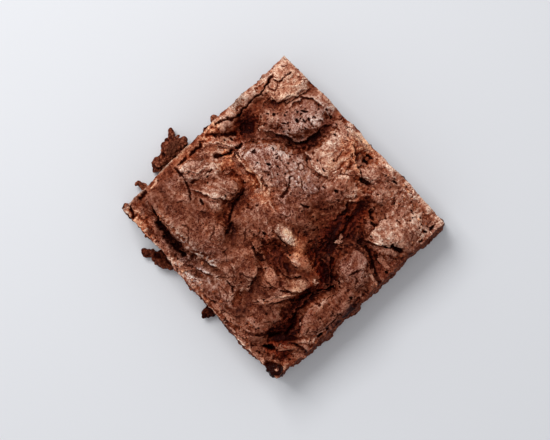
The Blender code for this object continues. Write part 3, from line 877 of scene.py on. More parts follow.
def stepped(fields):
    """Ledges: their dark feet, their pale lips, and their relief."""
    wave = fields["wave"]
    x = fields["bent"][0] + 0.5 * wave(4, 2.4)
    y = fields["bent"][1] + 0.5 * wave(7, 2.4)
    foot = np.zeros(x.shape)
    lip = np.zeros(x.shape)
    relief = np.zeros(x.shape)
    for route, drop, reach in LEDGES.values():
        away, side, share = beside_route(x, y, route)
        signed = away * side
        taper = np.sqrt(np.clip(4 * share * (1 - share), 0, 1))
        plate = smoothstep(-0.18, 0.18, signed)
        relief += drop * taper * plate * np.exp(-np.clip(signed, 0, None) / reach)
        below = np.exp(-((np.clip(-signed, 0, None) / 1.3) ** 2)) * (1 - plate) * taper
        foot = np.maximum(foot, below * min(1.0, drop))
        relief -= 0.45 * drop * below
        lip = np.maximum(lip, plate * taper * np.exp(-np.clip(signed, 0, None) / 0.7) * min(1.0, drop))
    return foot, lip, relief


# Layers in which the skin of the crust lifts: wavelength, layers for each unit of noise, thickness of one.
LAYERS = ((7.0, 2.4, 0.40), (3.2, 1.6, 0.20))
LAYER_TILT = 0.75


def flaked(fields):
    """Thin overlapping layers: each rises slowly and ends in a small sharp step."""
    places = flat_points(*fields["bent"])
    total = np.zeros(fields["x"].shape)
    for turn, (wavelength, density, thickness) in enumerate(LAYERS):
        level = density * NOISE[turn + 2].smooth(places, wavelength).reshape(total.shape)
        inside = level - np.floor(level)
        step = np.floor(level) + smoothstep(0.40, 0.60, inside)
        total += thickness * (step - LAYER_TILT * level)
    return total


def crested(fields):
    """Where the thin crests are, from 0 to their change of tone, and their relief."""
    wave = fields["wave"]
    pale = np.zeros(fields["x"].shape)
    relief = np.zeros(fields["x"].shape)
    for route, half_width, height, change in CRESTS.values():
        away, _, share = beside_route(*fields["bent"], route)
        taper = smoothstep(0, 0.2, share) * smoothstep(1, 0.8, share) * smoothstep(-0.9, 0, wave(1, 2.0))
        crest = np.exp(-((away / half_width) ** 2)) * taper
        pale = np.maximum(pale, change * crest)
        relief += height * crest
    return pale, relief


def pored(fields):
    """Small pores over the pored stretches, and the larger named pits."""
    x, y, wave = fields["x"], fields["y"], fields["wave"]
    pored_share = sum_of_patches(x, y, PORED_PATCHES, fields["ragged"])
    places = flat_points(x + 0.4 * wave(4, 1.1), 0.75 * y + 0.4 * wave(5, 1.1))
    first, _, value = (part.reshape(x.shape) for part in NOISE[3].cells(places, 1.15))
    size = 0.10 + 0.26 * value**2
    pores = smoothstep(size + 0.09, size - 0.09, first) * (value > 0.35) * np.clip(pored_share + 0.2, 0, 1)
    relief = -0.6 * pores
    bent_x = x + 0.5 * (fields["bent"][0] - x)
    bent_y = y + 0.5 * (fields["bent"][1] - y)
    for *patch, depth in PITS:
        pit = patch_share(bent_x, bent_y, *patch, 1.0, 0)
        pores = np.maximum(pores, pit)
        relief = np.minimum(relief, -depth * pit)
    return pores, relief


def wrinkled(fields):
    """Folds with sharp crests that run along the heading of the patch that they lie in."""
    x, y, (bent_x, bent_y) = fields["x"], fields["y"], fields["bent"]
    total = np.zeros(x.shape)
    for turn, (centre_x, centre_y, length, width, heading, spacing, height) in enumerate(WRINKLES):
        share = patch_share(x, y, centre_x, centre_y, length, width, heading, 1.0, fields["ragged"])
        angle = math.radians(heading)
        along = bent_x * math.cos(angle) + bent_y * math.sin(angle)
        across = bent_y * math.cos(angle) - bent_x * math.sin(angle)
        folds = NOISE[turn % 12].smooth(flat_points(along / WRINKLE_LENGTH, across, 7.0 * turn), spacing)
        total += share * height * (0.5 - 1.6 * np.abs(folds.reshape(x.shape)))
    return total


def torn_share(fields):
    """Where the crust is torn away: named stretches, and steep slopes, with sharp and ragged borders."""
    x, y, ragged = fields["x"], fields["y"], fields["ragged"]
    total = np.zeros(x.shape)
    for patch in TORN_PATCHES:
        total = np.maximum(total, patch_share(x, y, *patch, 1.0, 1.6 * ragged))
    slope_x, slope_y = np.gradient(blurred(fields["base"], 1.5 / fields["step"]), fields["step"])
    steep = np.hypot(slope_x, slope_y) + 1.1 * ragged
    return np.maximum(smoothstep(0.35, 0.6, total), smoothstep(0.85, 1.0, steep))


def sum_of_patches(x, y, patches, ragged):
    total = np.zeros(x.shape)
    for patch in patches:
        total = np.maximum(total, patch_share(x, y, *patch, ragged))
    return total


# How much redder the crust is painted for each millimetre that a place lies below what is round it: partly rustier
# crumb, partly painted shade, reddened as light bounces inside the hollows.
HOLLOW_RUST_AND_SHADE = 1.6


def crust_tint(fields):
    """The crust's colour at each point of its grid, as linear red, green and blue, with painted light and shade of its
    relief laid in.
    """
    x, y, height, wave = fields["x"], fields["y"], fields["height"], fields["wave"]
    ragged = 1.6 * fields["ragged"]
    tone = np.full(x.shape, BASE_TONE)
    for aim, *patch in TONE_AND_SHADE_PATCHES:
        tone += (aim - tone) * patch_share(x, y, *patch, 0.7 * fields["ragged"], softer=0.35)
    for change, *patch in TONE_AND_SHADE_FIXES:
        tone += patch_share(x, y, *patch, change, 0.7 * fields["ragged"], softer=0.35)
    tone += fields["crests"]
    broad = height - blurred(height, 3.5 / fields["step"])
    close = height - blurred(height, 0.9 / fields["step"])
    tone += 0.09 * wave(6, 4.0) + 0.06 * wave(7, 1.7) + 0.07 * wave(8, 0.8)
    # Painted shade, in part: darker in hollows and paler on crests, which also stands for the crust's moist dark
    # hollows and dusty crests.
    tone += 0.45 * np.clip(close, -0.5, 0.35) + 0.05 * np.clip(broad, -3, 1)
    # The rim's paler lip is partly painted light that lifts the shade of the sloping rim.
    tone += 0.14 * fields["lip"] - 0.08 * fields["torn"] + fields["rim"] * (1 + 0.8 * wave(10, 2.0))
    # Painted shade, in part: the feet of ledges, open cracks and pores are darkened where shade falls in them, besides
    # the darker crumb that they lay bare.
    tone *= 1 - 0.45 * fields["foot"]
    tone *= 1 - 0.68 * np.clip(fields["cracks"], 0, 1)
    tone *= 1 - 0.8 * fields["pores"]
    fields["tone"] = np.clip(tone, DARKEST, PALEST)
    colour = toned(fields["tone"])
    for name, *patch in CASTS:
        share = patch_share(x, y, *patch, ragged)[..., None]
        colour *= 1 + (np.array(HUES[name]) - 1) * share
    rusty = np.maximum(0.9 * fields["torn"], smoothstep(0.1, 0.6, wave(9, 2.6)) * 0.5)
    # Redder in hollows: partly rust, partly painted shade.
    rusty += HOLLOW_RUST_AND_SHADE * np.clip(-close, -0.3, 0.6)
    rusty *= 1 - 0.7 * smoothstep(0.55, 0.85, fields["tone"])
    return colour * (1 + (np.array(HUES["rust"]) - 1) * rusty[..., None])


# ---- Making meshes ---------------------------------------------------------------------------------------------
def mesh_object(name, points, faces, colours=None):
    """A smooth-shaded object from points in millimetres and faces, with its colour at each point."""
    mesh = bpy.data.meshes.new(name)
    mesh.from_pydata((np.asarray(points) * MM).tolist(), [], faces)
    mesh.shade_smooth()
    if colours is not None:
        layer = mesh.color_attributes.new("tint", "FLOAT_COLOR", "POINT")
        with_alpha = np.ones((len(points), 4), np.float32)
        with_alpha[:, :3] = colours
        layer.data.foreach_set("color", with_alpha.ravel())
    piece = bpy.data.objects.new(name, mesh)
    bpy.context.scene.collection.objects.link(piece)
    return piece


def grid_faces(columns, rows, start=0):
    """Four-sided faces of a grid of columns x rows cells whose points run row by row."""
    first = (np.arange(columns)[:, None] * (rows + 1) + np.arange(rows)[None, :] + start).ravel()
    return np.column_stack([first, first + rows + 1, first + rows + 2, first + 1]).tolist()


def ring_indices(columns, rows):
    """Indices of the border points of a grid of columns x rows cells, anticlockwise from its first corner."""
    index = np.arange((columns + 1) * (rows + 1)).reshape(columns + 1, rows + 1)
    return np.concatenate([index[:-1, 0], index[-1, :-1], index[:0:-1, -1], index[0, :0:-1]])


def bridge_faces(upper, lower):
    """Faces between two rings, looking outwards when the rings run anticlockwise."""
    after_upper, after_lower = np.roll(upper, -1), np.roll(lower, -1)
    return np.column_stack([after_upper, upper, lower, after_lower]).tolist()


def outward_ways(ring_points):
    """Flat outward directions round a ring of points, softened at its corners."""
    forward = np.roll(ring_points, -3, axis=0) - np.roll(ring_points, 3, axis=0)
    outward = np.column_stack([forward[:, 1], -forward[:, 0], np.zeros(len(forward))])
    return outward / np.linalg.norm(outward, axis=1)[:, None]


# ---- The crust ---------------------------------------------------------------------------------------------------
OVERHANG = 0.55
MOST_OVERHANG = 0.9
# The crust's broken edge, from its top inwards: how far out and how far down each ring lies.
LIP_RINGS = ((0.12, 0.25), (0.16, 0.6), (0.05, 0.95), (-0.4, 1.4), (-1.2, 3.2))
CORE_INSET = 3.0
CORE_HEIGHT = 12.0


def crust_points(fields):
    """The crust's grid in space, its swells leaning out a little over the hollows beside them."""
    height, step = fields["height"], fields["step"]
    soft = blurred(height, 1.2 / step)
    slope_x, slope_y = np.gradient(soft, step)
    proud = np.clip(soft - blurred(height, 4.0 / step), 0, 2)
    inside = smoothstep(0.5, 4.0, fields["edge"])
    lean_x = np.clip(-OVERHANG * slope_x * proud, -MOST_OVERHANG, MOST_OVERHANG) * inside
    lean_y = np.clip(-OVERHANG * slope_y * proud, -MOST_OVERHANG, MOST_OVERHANG) * inside
    crumbly = smoothstep(-44, 44, fields["x"] - fields["y"])
    near_rim = (1 - smoothstep(0, 2.5, fields["edge"])) * (0.12 + 0.4 * crumbly)
    ragged_x = near_rim * fields["wave"](3, 1.5)
    ragged_y = near_rim * fields["wave"](4, 1.5)
    return flat_points(fields["x"] + lean_x + ragged_x, fields["y"] + lean_y + ragged_y, height)


def core_ring(ring_points, outward):
    """A level ring inside the slab, below the deepest valley, that closes a piece out of sight."""
    inner = ring_points - outward * CORE_INSET
    inner[:, 2] = CORE_HEIGHT
    return inner


def grid_normals(points, columns, rows):
    """Upward unit normals of a grid's points."""
    grid = points.reshape(columns + 1, rows + 1, 3)
    normals = np.cross(np.gradient(grid, axis=0), np.gradient(grid, axis=1)).reshape(-1, 3)
    return normals / np.linalg.norm(normals, axis=1)[:, None]


def keep_normals(mesh, normals):
    """Sets the first points' normals, so that the halves of the crust shade as one."""
    all_normals = np.empty(3 * len(mesh.vertices), np.float32)
    mesh.vertex_normals.foreach_get("vector", all_normals)
    all_normals = all_normals.reshape(-1, 3)
    all_normals[: len(normals)] = normals
    mesh.normals_split_custom_set_from_vertices(all_normals.tolist())


def crust_half(name, points, tint, normals, columns, joint):
    """Half of the crust, closed below. The joint is its column of points that meets the other half."""
    ring = ring_indices(columns, CRUST_STEPS)
    outward = outward_ways(points[ring])
    at_joint = np.isin(ring, joint)
    all_points, all_tints = [points], [tint]
    faces = grid_faces(columns, CRUST_STEPS)
    upper, start = ring, len(points)
    for out, down in LIP_RINGS:
        chips = NOISE[5].smooth(points[ring] + down, 1.3)
        way_out = np.where(at_joint, 0, out + 0.15 * chips)
        level = points[ring] + outward * way_out[:, None]
        level[:, 2] -= down * (1 + 0.35 * NOISE[6].smooth(points[ring], 2.0))
        lower = np.arange(len(ring)) + start
        faces += bridge_faces(upper, lower)
        all_points.append(level)
        all_tints.append(tint[ring] * math.exp(-down))
        upper, start = lower, start + len(ring)
    inner = core_ring(points[ring], outward)
    faces += bridge_faces(upper, np.arange(len(ring)) + start)
    upper, start = np.arange(len(ring)) + start, start + len(ring)
    faces += [(int(a), int(b), start) for a, b in zip(np.roll(upper, -1), upper)]
    all_points += [inner, inner.mean(axis=0)[None]]
    all_tints.append(np.tile(toned(0.1), (len(ring) + 1, 1)))
    half = mesh_object(name, np.concatenate(all_points), faces, np.concatenate(all_tints))
    keep_normals(half.data, normals)
    return half


def make_crust(fields):
    """The crust in two halves, which meet along the grid's middle column."""
    points = crust_points(fields)
    tint = crust_tint(fields).reshape(-1, 3)
    normals = grid_normals(points, CRUST_STEPS, CRUST_STEPS)
    columns, in_column = CRUST_STEPS // 2, CRUST_STEPS + 1
    west, east = slice(0, (columns + 1) * in_column), slice(columns * in_column, None)
    last_column = np.arange(in_column) + columns * in_column
    halves = [
        crust_half("crust_west", points[west], tint[west], normals[west], columns, last_column),
        crust_half("crust_east", points[east], tint[east], normals[east], columns, np.arange(in_column)),
    ]
    return halves, points


# ---- The crumb under it ------------------------------------------------------------------------------------------
CRUST_COVER = 1.0
FOOT_ROUND = 1.6
LEAN_WINDOW = 15


def crumb_roughness(points):
    """How far rough crumb stands out at each point in space, mm."""
    clumps = 0.75 * NOISE[0].smooth(points, 6.5) + 0.45 * np.abs(NOISE[1].smooth(points, 3.0))
    first, second, _ = NOISE[2].cells(points, 1.7)
    grains = 0.55 * (0.55 - first)
    hole_first, _, hole_value = NOISE[3].cells(points, 3.1)
    hole_size = 0.18 + 0.2 * hole_value
    holes = smoothstep(hole_size + 0.14, hole_size - 0.1, hole_first) * (hole_value > 0.4)
    fine = 0.14 * NOISE[4].smooth(points, 0.9)
    return clumps + grains + fine - 1.1 * holes, holes, second - first


def crumb_tint(points, relief, holes, gaps, paler=0.0):
    tone = 0.42 + paler + 0.10 * NOISE[5].smooth(points, 4.0) + 0.12 * NOISE[7].smooth(points, 0.9)
    # Paler where the crumb stands out, and darker in its holes and between its grains: partly the crumb's own tone,
    # partly painted shade in its hollows.
    tone += 0.10 * np.clip(relief, -0.8, 0.8)
    tone *= (1 - 0.6 * holes) * (1 - 0.5 * smoothstep(0.22, 0.02, gaps))
    rusty = (0.4 + 0.6 * smoothstep(-0.2, 0.6, NOISE[6].smooth(points, 2.0)))[:, None]
    return toned(np.clip(tone, DARKEST, 1)) * (1 + (np.array(HUES["rust"]) - 1) * rusty)


def wall_ring(ring_points, side_leans, outward, down):
    """One level ring of the cut sides, for a way down from 0 at the crust to 1 at the foot."""
    top = ring_points[:, 2] - CRUST_COVER
    level = ring_points - outward * 0.25
    level[:, 2] = top * (1 - down)
    level += outward * (side_leans * (top - level[:, 2]))[:, None]
    return level


def make_crumb(crust_grid):
    ring_points = crust_grid[ring_indices(CRUST_STEPS, CRUST_STEPS)]
    outward = outward_ways(ring_points)
    leans = ring_leans(CRUST_STEPS)
    rings = [wall_ring(ring_points, leans, outward, row / WALL_ROWS) for row in range(WALL_ROWS + 1)]
    smooth_points = np.concatenate(rings)
    relief, holes, gaps = crumb_roughness(smooth_points)
    all_outward = np.tile(outward, (WALL_ROWS + 1, 1))
    height_share = smoothstep(0, FOOT_ROUND, smooth_points[:, 2])
    depth = relief * (0.35 + 0.65 * height_share) - FOOT_ROUND * 0.6 * (1 - height_share)
    points = smooth_points + all_outward * depth[:, None]
    points[:, 2] = np.maximum(points[:, 2], 0)
    count = len(ring_points)
    faces = []
    for row in range(WALL_ROWS):
        upper = np.arange(count) + row * count
        faces += bridge_faces(upper, upper + count)
    last = WALL_ROWS * count
    inner = np.arange(count) + len(points)
    top_centre, foot_centre = len(points) + count, len(points) + count + 1
    upper = np.arange(count)
    faces += bridge_faces(inner, upper)
    faces += [(int(a), int(b), top_centre) for a, b in zip(inner, np.roll(inner, -1))]
    faces += [(int(b) + last, int(a) + last, foot_centre) for a, b in zip(upper, np.roll(upper, -1))]
    centres = np.array([[0, 0, CORE_HEIGHT], [0, 0, 0]])
    tints = crumb_tint(smooth_points, relief, holes, gaps)
    points = np.concatenate([points, core_ring(ring_points, outward), centres])
    tints = np.concatenate([tints, np.tile(toned(0.1), (count + 2, 1))])
    return mesh_object("crumb", points, faces, tints), points[: (WALL_ROWS + 1) * count]


def ring_leans(steps):
    """How far the cut side leans out for each millimetre down, at each place round the crust."""
    shares = np.arange(steps) / steps
    leans = np.concatenate([
        lean_at("south", shares), lean_at("east", shares), lean_at("north", 1 - shares), lean_at("west", 1 - shares),
    ])
    weights = np.ones(LEAN_WINDOW) / LEAN_WINDOW
    reach = LEAN_WINDOW // 2
    return np.convolve(np.concatenate([leans[-reach:], leans, leans[:reach]]), weights, mode="valid")


# ---- Lumps, flakes and crumbs that cling to it ---------------------------------------------------------------------
# Lumps of crumb: centre, half length, half width, half height, heading, and how often each is divided.
LUMPS = {
    "west": (-52.4, -11.5, 4.6, 6.8, 4.4, 3.8, 96, 6),
    "west_tip": (-57.6, -6.8, 2.8, 2.6, 1.4, 1.6, 150, 5),
    "west_foot": (-52.2, -18.6, 3.2, 4.2, 3.0, 2.7, 84, 5),
    "west_high": (-48.8, 10.3, 2.4, 2.3, 1.7, 1.7, 0, 5),
    "west_sliver": (-48.4, 5.2, 2.0, 2.5, 1.5, 1.4, 84, 5),
    "west_low": (-50.9, -30.9, 2.3, 3.2, 1.4, 1.6, 8, 5),
    "corner": (-48.6, -41.6, 3.0, 1.8, 1.5, 2.0, 0, 5),
    "south": (-23.4, -46.6, 3.8, 5.2, 2.9, 3.0, 8, 6),
    "south_tip": (-29.4, -48.8, 2.6, 2.4, 1.7, 1.9, 30, 5),
    "south_east": (6.1, -48.2, 3.2, 3.4, 2.4, 2.4, 86, 5),
}
LUMP_TONES = {"south": -0.06, "south_tip": -0.06, "south_east": -0.14}
# Knobs stand out all over a lump: how many for each square millimetre of its outline, and their radii.
KNOBS_PER_AREA = 0.28
KNOB_RADIUS = (0.6, 1.5)
# The west lump kept a scrap of the crust: centre, half sizes, heading.
CRUST_SCRAP = (-52.4, -10.6, 2.6, 4.2, 8)
CHIP = (41.0, -44.6, 22.6, 3.8, 2.7, 2.4, 20, 6)
# Where a painted highlight sits on it: a pale spot on its top that stands for a glint of the lamp.
GLINT = (41.2, -43.8)


def lump_shape(centre_x, centre_y, centre_z, length, width, height, heading, divided):
    """Points of an ellipsoid, its outward directions and its faces."""
    shape = bmesh.new()
    bmesh.ops.create_icosphere(shape, subdivisions=divided, radius=1.0)
    ways = np.array([vert.co for vert in shape.verts])
    faces = [[vert.index for vert in face.verts] for face in shape.faces]
    shape.free()
    turn = math.radians(heading)
    rotation = np.array([[math.cos(turn), -math.sin(turn), 0], [math.sin(turn), math.cos(turn), 0], [0, 0, 1]])
    points = (ways * (length, width, height)) @ rotation.T + (centre_x, centre_y, centre_z)
    outward = (ways / (length, width, height)) @ rotation.T
    return points, outward / np.linalg.norm(outward, axis=1)[:, None], faces


def joined(name, shapes):
    """One object from several (points, faces, tints)."""
    all_points, all_faces, all_tints = [], [], []
    start = 0
    for points, faces, tints in shapes:
        all_points.append(points)
        all_tints.append(tints)
        all_faces += [[corner + start for corner in face] for face in faces]
        start += len(points)
    return mesh_object(name, np.concatenate(all_points), all_faces, np.concatenate(all_tints))


def knobs_on(sizes, random):
    """Smaller lumps scattered over the outside of one lump."""
    centre_x, centre_y, centre_z, length, width, height, heading, _ = sizes
    turn = math.radians(heading)
    knobs = []
    for _ in range(round(KNOBS_PER_AREA * length * width)):
        around, up = random.uniform(0, 2 * math.pi), random.uniform(-0.5, 0.8)
        flat = math.sqrt(1 - up * up)
        along, across = length * flat * math.cos(around), width * flat * math.sin(around)
        x = centre_x + along * math.cos(turn) - across * math.sin(turn)
        y = centre_y + along * math.sin(turn) + across * math.cos(turn)
        radius = random.uniform(*KNOB_RADIUS)
        knobs.append((x, y, centre_z + height * up, *(radius * random.uniform(0.7, 1.3, 3)), 0, 4))
    return knobs


def rough_lump(sizes, paler, scrap_share):
    """A lump of crumb, with a scrap of crust over it where the share is above 0."""
    points, outward, faces = lump_shape(*sizes)
    relief, holes, gaps = crumb_roughness(points)
    swell = 0.8 * NOISE[8].smooth(points, 3.2) + 0.5 * NOISE[9].smooth(points, 1.5)
    depth = min(1.0, min(sizes[3:6]) / 2.5)
    tints = crumb_tint(points, relief, holes, gaps, paler)
    scrap = patch_share(points[:, 0], points[:, 1], *CRUST_SCRAP, scrap_share, 0.3 * NOISE[9].smooth(points, 1.6))
    scrap *= smoothstep(0.35, 0.7, outward[:, 2])
    tints += (toned(0.40) * HUES["grey"] - tints) * scrap[:, None]
    points = points + outward * (depth * (relief * (1 - 0.7 * scrap) + swell))[:, None]
    points[:, 2] = np.maximum(points[:, 2], 0)
    return points, faces, tints


def make_lumps():
    random = np.random.default_rng(23)
    shapes = []
    for name, sizes in LUMPS.items():
        paler = LUMP_TONES.get(name, 0.16)
        shapes.append(rough_lump(sizes, paler, float(name == "west")))
        shapes += [rough_lump(knob, paler + random.uniform(-0.08, 0.12), 0.0) for knob in knobs_on(sizes, random)]
    return joined("lumps", shapes)


def make_chip():
    """A lump of dark chocolate that melted and set at the corner."""
    points, outward, faces = lump_shape(*CHIP)
    swell = 1.0 * NOISE[8].smooth(points, 2.6) + 0.35 * NOISE[9].smooth(points, 1.2)
    tone = 0.05 + 0.16 * smoothstep(0.2, 0.8, NOISE[7].smooth(points, 2.0))
    # A painted highlight: the pale spot round the glint, on the faces that look up.
    away = np.hypot(points[:, 0] - GLINT[0], points[:, 1] - GLINT[1]) + 0.9 * np.abs(NOISE[2].smooth(points, 0.7))
    tone += 0.8 * smoothstep(1.0, 0.6, away) * smoothstep(0.2, 0.5, outward[:, 2])
    return joined("chip", [(points + outward * swell[:, None], faces, toned(tone))])


def crust_height_at(fields, x, y):
    """Height of the finished crust at any places, by finding them on its grid."""
    steps = np.linspace(0, 1, CRUST_STEPS + 1)
    u, v = np.full(x.shape, 0.5), np.full(x.shape, 0.5)
    for _ in range(5):
        west, east = (np.interp(v, steps, fields["x"][end]) for end in (0, -1))
        u = np.clip((x - west) / (east - west), 0, 1)
        south, north = (np.interp(u, steps, fields["y"][:, end]) for end in (0, -1))
        v = np.clip((y - south) / (north - south), 0, 1)
    column = np.minimum((u * CRUST_STEPS).astype(int), CRUST_STEPS - 1)
    row = np.minimum((v * CRUST_STEPS).astype(int), CRUST_STEPS - 1)
    across, along = u * CRUST_STEPS - column, v * CRUST_STEPS - row
    height = fields["soft_height"]
    low = height[column, row] * (1 - across) + height[column + 1, row] * across
    high = height[column, row + 1] * (1 - across) + height[column + 1, row + 1] * across
    return low * (1 - along) + high * along


# Flakes of crust that lift off: centre, half length, half width, heading of the free edge, lift, tone.
FLAKES = (
    (12.0, 37.6, 2.4, 3.0, -88, 1.5, 0.78),
    (39.4, 27.4, 2.2, 3.6, -62, 1.5, 0.80),
    (36.2, 24.0, 1.8, 2.6, -50, 1.2, 0.80),
    (42.6, 28.4, 1.4, 2.0, -80, 1.0, 0.66),
    (22.8, 10.4, 0.7, 1.7, -40, 1.1, 0.78),
    (22.0, 12.4, 0.6, 1.3, 20, 1.0, 0.70),
    (21.4, -22.6, 1.5, 5.6, -30, 1.4, 0.70),
    (17.8, -28.6, 0.7, 1.8, -70, 0.7, 0.80),
    # Painted highlight, in part: this flake's pale tone stands for a glint of the lamp.
    (27.6, -7.8, 0.6, 1.3, -60, 0.7, 0.80),
    (-9.0, 43.6, 1.4, 3.0, 70, 0.9, 0.76),
    (-3.0, 44.0, 1.3, 2.8, 100, 0.9, 0.80),
    (2.6, 44.4, 1.2, 2.0, 80, 0.8, 0.78),
    (-42.4, -13.4, 1.5, 2.6, -70, 1.1, 0.72),
    (-38.0, -11.0, 1.4, 2.4, -45, 1.0, 0.72),
    (-25.0, -12.6, 1.3, 2.6, -60, 0.8, 0.66),
    (6.6, -42.6, 1.3, 2.4, -75, 1.0, 0.66),
    (13.0, -42.6, 1.2, 2.6, -95, 0.8, 0.74),
    (21.0, -43.8, 1.0, 2.2, -80, 0.8, 0.64),
    (-14.0, -41.6, 1.1, 2.8, -50, 0.8, 0.66),
    (37.4, -35.0, 1.2, 4.0, -45, 1.1, 0.60),
    (43.6, -33.2, 1.2, 2.6, -60, 0.9, 0.66),
    (41.6, 17.6, 1.4, 3.4, -95, 1.0, 0.68),
    (-29.8, 4.2, 1.2, 2.2, -80, 1.0, 0.62),
    (-24.6, 3.6, 1.0, 1.8, -100, 0.8, 0.62),
    (-37.0, 5.6, 1.0, 3.0, -52, 0.9, 0.74),
    (-30.6, 43.0, 1.0, 2.4, -15, 0.8, 0.68),
    (-31.8, 37.4, 1.0, 2.4, -10, 0.8, 0.66),
    (-7.0, 24.2, 1.1, 2.2, -95, 0.9, 0.66),
    (5.0, 39.4, 1.1, 2.6, 30, 0.9, 0.66),
    # Painted highlight, in part: this flake's pale tone stands for the white streak of sheen on this facet.
    (7.0, -3.6, 1.1, 4.2, -85, 0.7, 0.90),
    (-45.2, 36.8, 1.0, 2.0, 170, 0.6, 0.74),
)
SMALL_FLAKES = 130
FLAKE_THICKNESS = 0.24
FLAKE_RINGS = (0.0, 0.35, 0.65, 0.88, 1.0)
FLAKE_SPOKES = 30


def flake_shape(fields, x, y, length, width, heading, lift, tone, seed):
    """A thin ragged plate, sunk in the crust at one edge and curling free at the other."""
    spokes = np.arange(FLAKE_SPOKES) * 2 * math.pi / FLAKE_SPOKES
    rim = flat_points(np.cos(spokes) * 1.5, np.sin(spokes) * 1.5, 3.0 * seed)
    reach = 1 + 0.5 * NOISE[seed % 12].smooth(rim, 1.0) + 0.35 * NOISE[(seed + 1) % 12].smooth(rim, 0.4)
    rings = np.concatenate([[(0.0, 0.0)]] + [
        np.column_stack([np.cos(spokes), np.sin(spokes)]) * (ring * reach)[:, None] for ring in FLAKE_RINGS[1:]
    ])
    turn = math.radians(heading)
    along, across = rings[:, 0] * length, rings[:, 1] * width
    flat_x = x + along * math.cos(turn) - across * math.sin(turn)
    flat_y = y + along * math.sin(turn) + across * math.cos(turn)
    rise = lift * np.clip((rings[:, 0] + 0.7) / 1.7, -0.4, 1.2)
    rise += 0.12 * NOISE[(seed + 5) % 12].smooth(flat_points(flat_x, flat_y), 1.2)
    top = np.column_stack([flat_x, flat_y, crust_height_at(fields, flat_x, flat_y) + rise])
    thick = FLAKE_THICKNESS * (1 - 0.7 * np.concatenate([[0], np.repeat(FLAKE_RINGS[1:], FLAKE_SPOKES)]) ** 6)
    under = top - np.column_stack([np.zeros(len(top)), np.zeros(len(top)), thick])
    count = len(top)
    faces = []
    for spoke in range(FLAKE_SPOKES):
        after = (spoke + 1) % FLAKE_SPOKES
        faces.append((0, 1 + spoke, 1 + after))
        for ring in range(len(FLAKE_RINGS) - 2):
            inner, outer = 1 + ring * FLAKE_SPOKES, 1 + (ring + 1) * FLAKE_SPOKES
            faces.append((inner + spoke, outer + spoke, outer + after, inner + after))
    lower = [tuple(corner + count for corner in reversed(face)) for face in faces]
    last = 1 + (len(FLAKE_RINGS) - 2) * FLAKE_SPOKES
    edge = [
        (last + (spoke + 1) % FLAKE_SPOKES, last + spoke, last + spoke + count, last + (spoke + 1) % FLAKE_SPOKES + count)
        for spoke in range(FLAKE_SPOKES)
    ]
    tones = tone + 0.12 * NOISE[(seed + 3) % 12].smooth(top, 1.0)
    tints = toned(np.clip(np.concatenate([tones, tones * 0.6]), DARKEST, 1))
    return np.concatenate([top, under]), faces + lower + edge, tints


def make_flakes(fields):
    random = np.random.default_rng(41)
    shapes = [flake_shape(fields, *flake, seed) for seed, flake in enumerate(FLAKES)]
    likely = (fields["lip"] * 1.5 + fields["foot"] + 0.5 * fields["rough"] + 0.02) * (fields["edge"] > 1.2)
    picks = random.choice(likely.size, SMALL_FLAKES, replace=False, p=likely.ravel() / likely.sum())
    for seed, pick in enumerate(picks):
        column, row = np.unravel_index(pick, likely.shape)
        length, width = random.uniform(0.5, 1.1), random.uniform(0.7, 1.8)
        heading, lift = random.uniform(0, 360), random.uniform(0.25, 0.7)
        tone = np.clip(fields["tone"][column, row] + random.uniform(-0.02, 0.2), 0.2, 0.85)
        place = fields["x"][column, row], fields["y"][column, row]
        shapes.append(flake_shape(fields, *place, length, width, heading, lift, tone, seed))
    return joined("flakes", shapes)


CRUST_CRUMBS = 420
SIDE_CRUMBS = 260


def crumb_bit(place, radius, tint, seed):
    """One small crumb: a knobbly ball squashed at random."""
    points, outward, faces = lump_shape(*place, *radius, 53 * seed, 2)
    points = points + outward * (0.35 * min(radius) * NOISE[seed % 12].smooth(points, 1.3 * max(radius)))[:, None]
    points[:, 2] = np.maximum(points[:, 2], 0.02)
    return points, faces, np.tile(tint, (len(points), 1))


def make_crumbs(fields, crust_grid, crumb):
    """Small crumbs stuck to the rough crust, in its hollows, and on the cut sides."""
    random = np.random.default_rng(17)
    likely = (fields["rough"] + 0.6 * fields["foot"] + 0.04) * (fields["edge"] > 0.5)
    picks = random.choice(likely.size, CRUST_CRUMBS, replace=False, p=likely.ravel() / likely.sum())
    places = list(crust_grid[picks])
    tones = list(np.clip(fields["tone"].ravel()[picks] + random.uniform(-0.2, 0.2, CRUST_CRUMBS), 0.1, 0.9))
    sides = crumb[random.integers(0, len(crumb), SIDE_CRUMBS)]
    places += list(sides)
    tones += list(random.uniform(0.25, 0.6, SIDE_CRUMBS))
    shapes = []
    for seed, (place, tone) in enumerate(zip(places, tones)):
        size = 0.28 + 0.5 * random.random() ** 2.5
        radius = size * random.uniform(0.7, 1.3, 3)
        shapes.append(crumb_bit(place, radius, toned(tone) * HUES["rust"], seed))
    return joined("crumbs", shapes)


# ---- Materials -----------------------------------------------------------------------------------------------------
def new_material(name):
    material = bpy.data.materials.new(name)
    material.use_nodes = True
    return material, material.node_tree.nodes, material.node_tree.links


def noise_texture(nodes, links, place, scale, detail, roughness=0.6):
    noise = nodes.new("ShaderNodeTexNoise")
    noise.inputs["Scale"].default_value = scale
    noise.inputs["Detail"].default_value = detail
    noise.inputs["Roughness"].default_value = roughness
    links.new(place, noise.inputs["Vector"])
    return noise.outputs["Fac"]


def remapped(nodes, links, value, low, high, new_low, new_high):
    spread = nodes.new("ShaderNodeMapRange")
    spread.inputs["From Min"].default_value = low
    spread.inputs["From Max"].default_value = high
    spread.inputs["To Min"].default_value = new_low
    spread.inputs["To Max"].default_value = new_high
    links.new(value, spread.inputs["Value"])
    return spread.outputs["Result"]


def multiplied(nodes, links, first, second):
    product = nodes.new("ShaderNodeMath")
    product.operation = "MULTIPLY"
    links.new(first, product.inputs[0])
    links.new(second, product.inputs[1])
    return product.outputs["Value"]


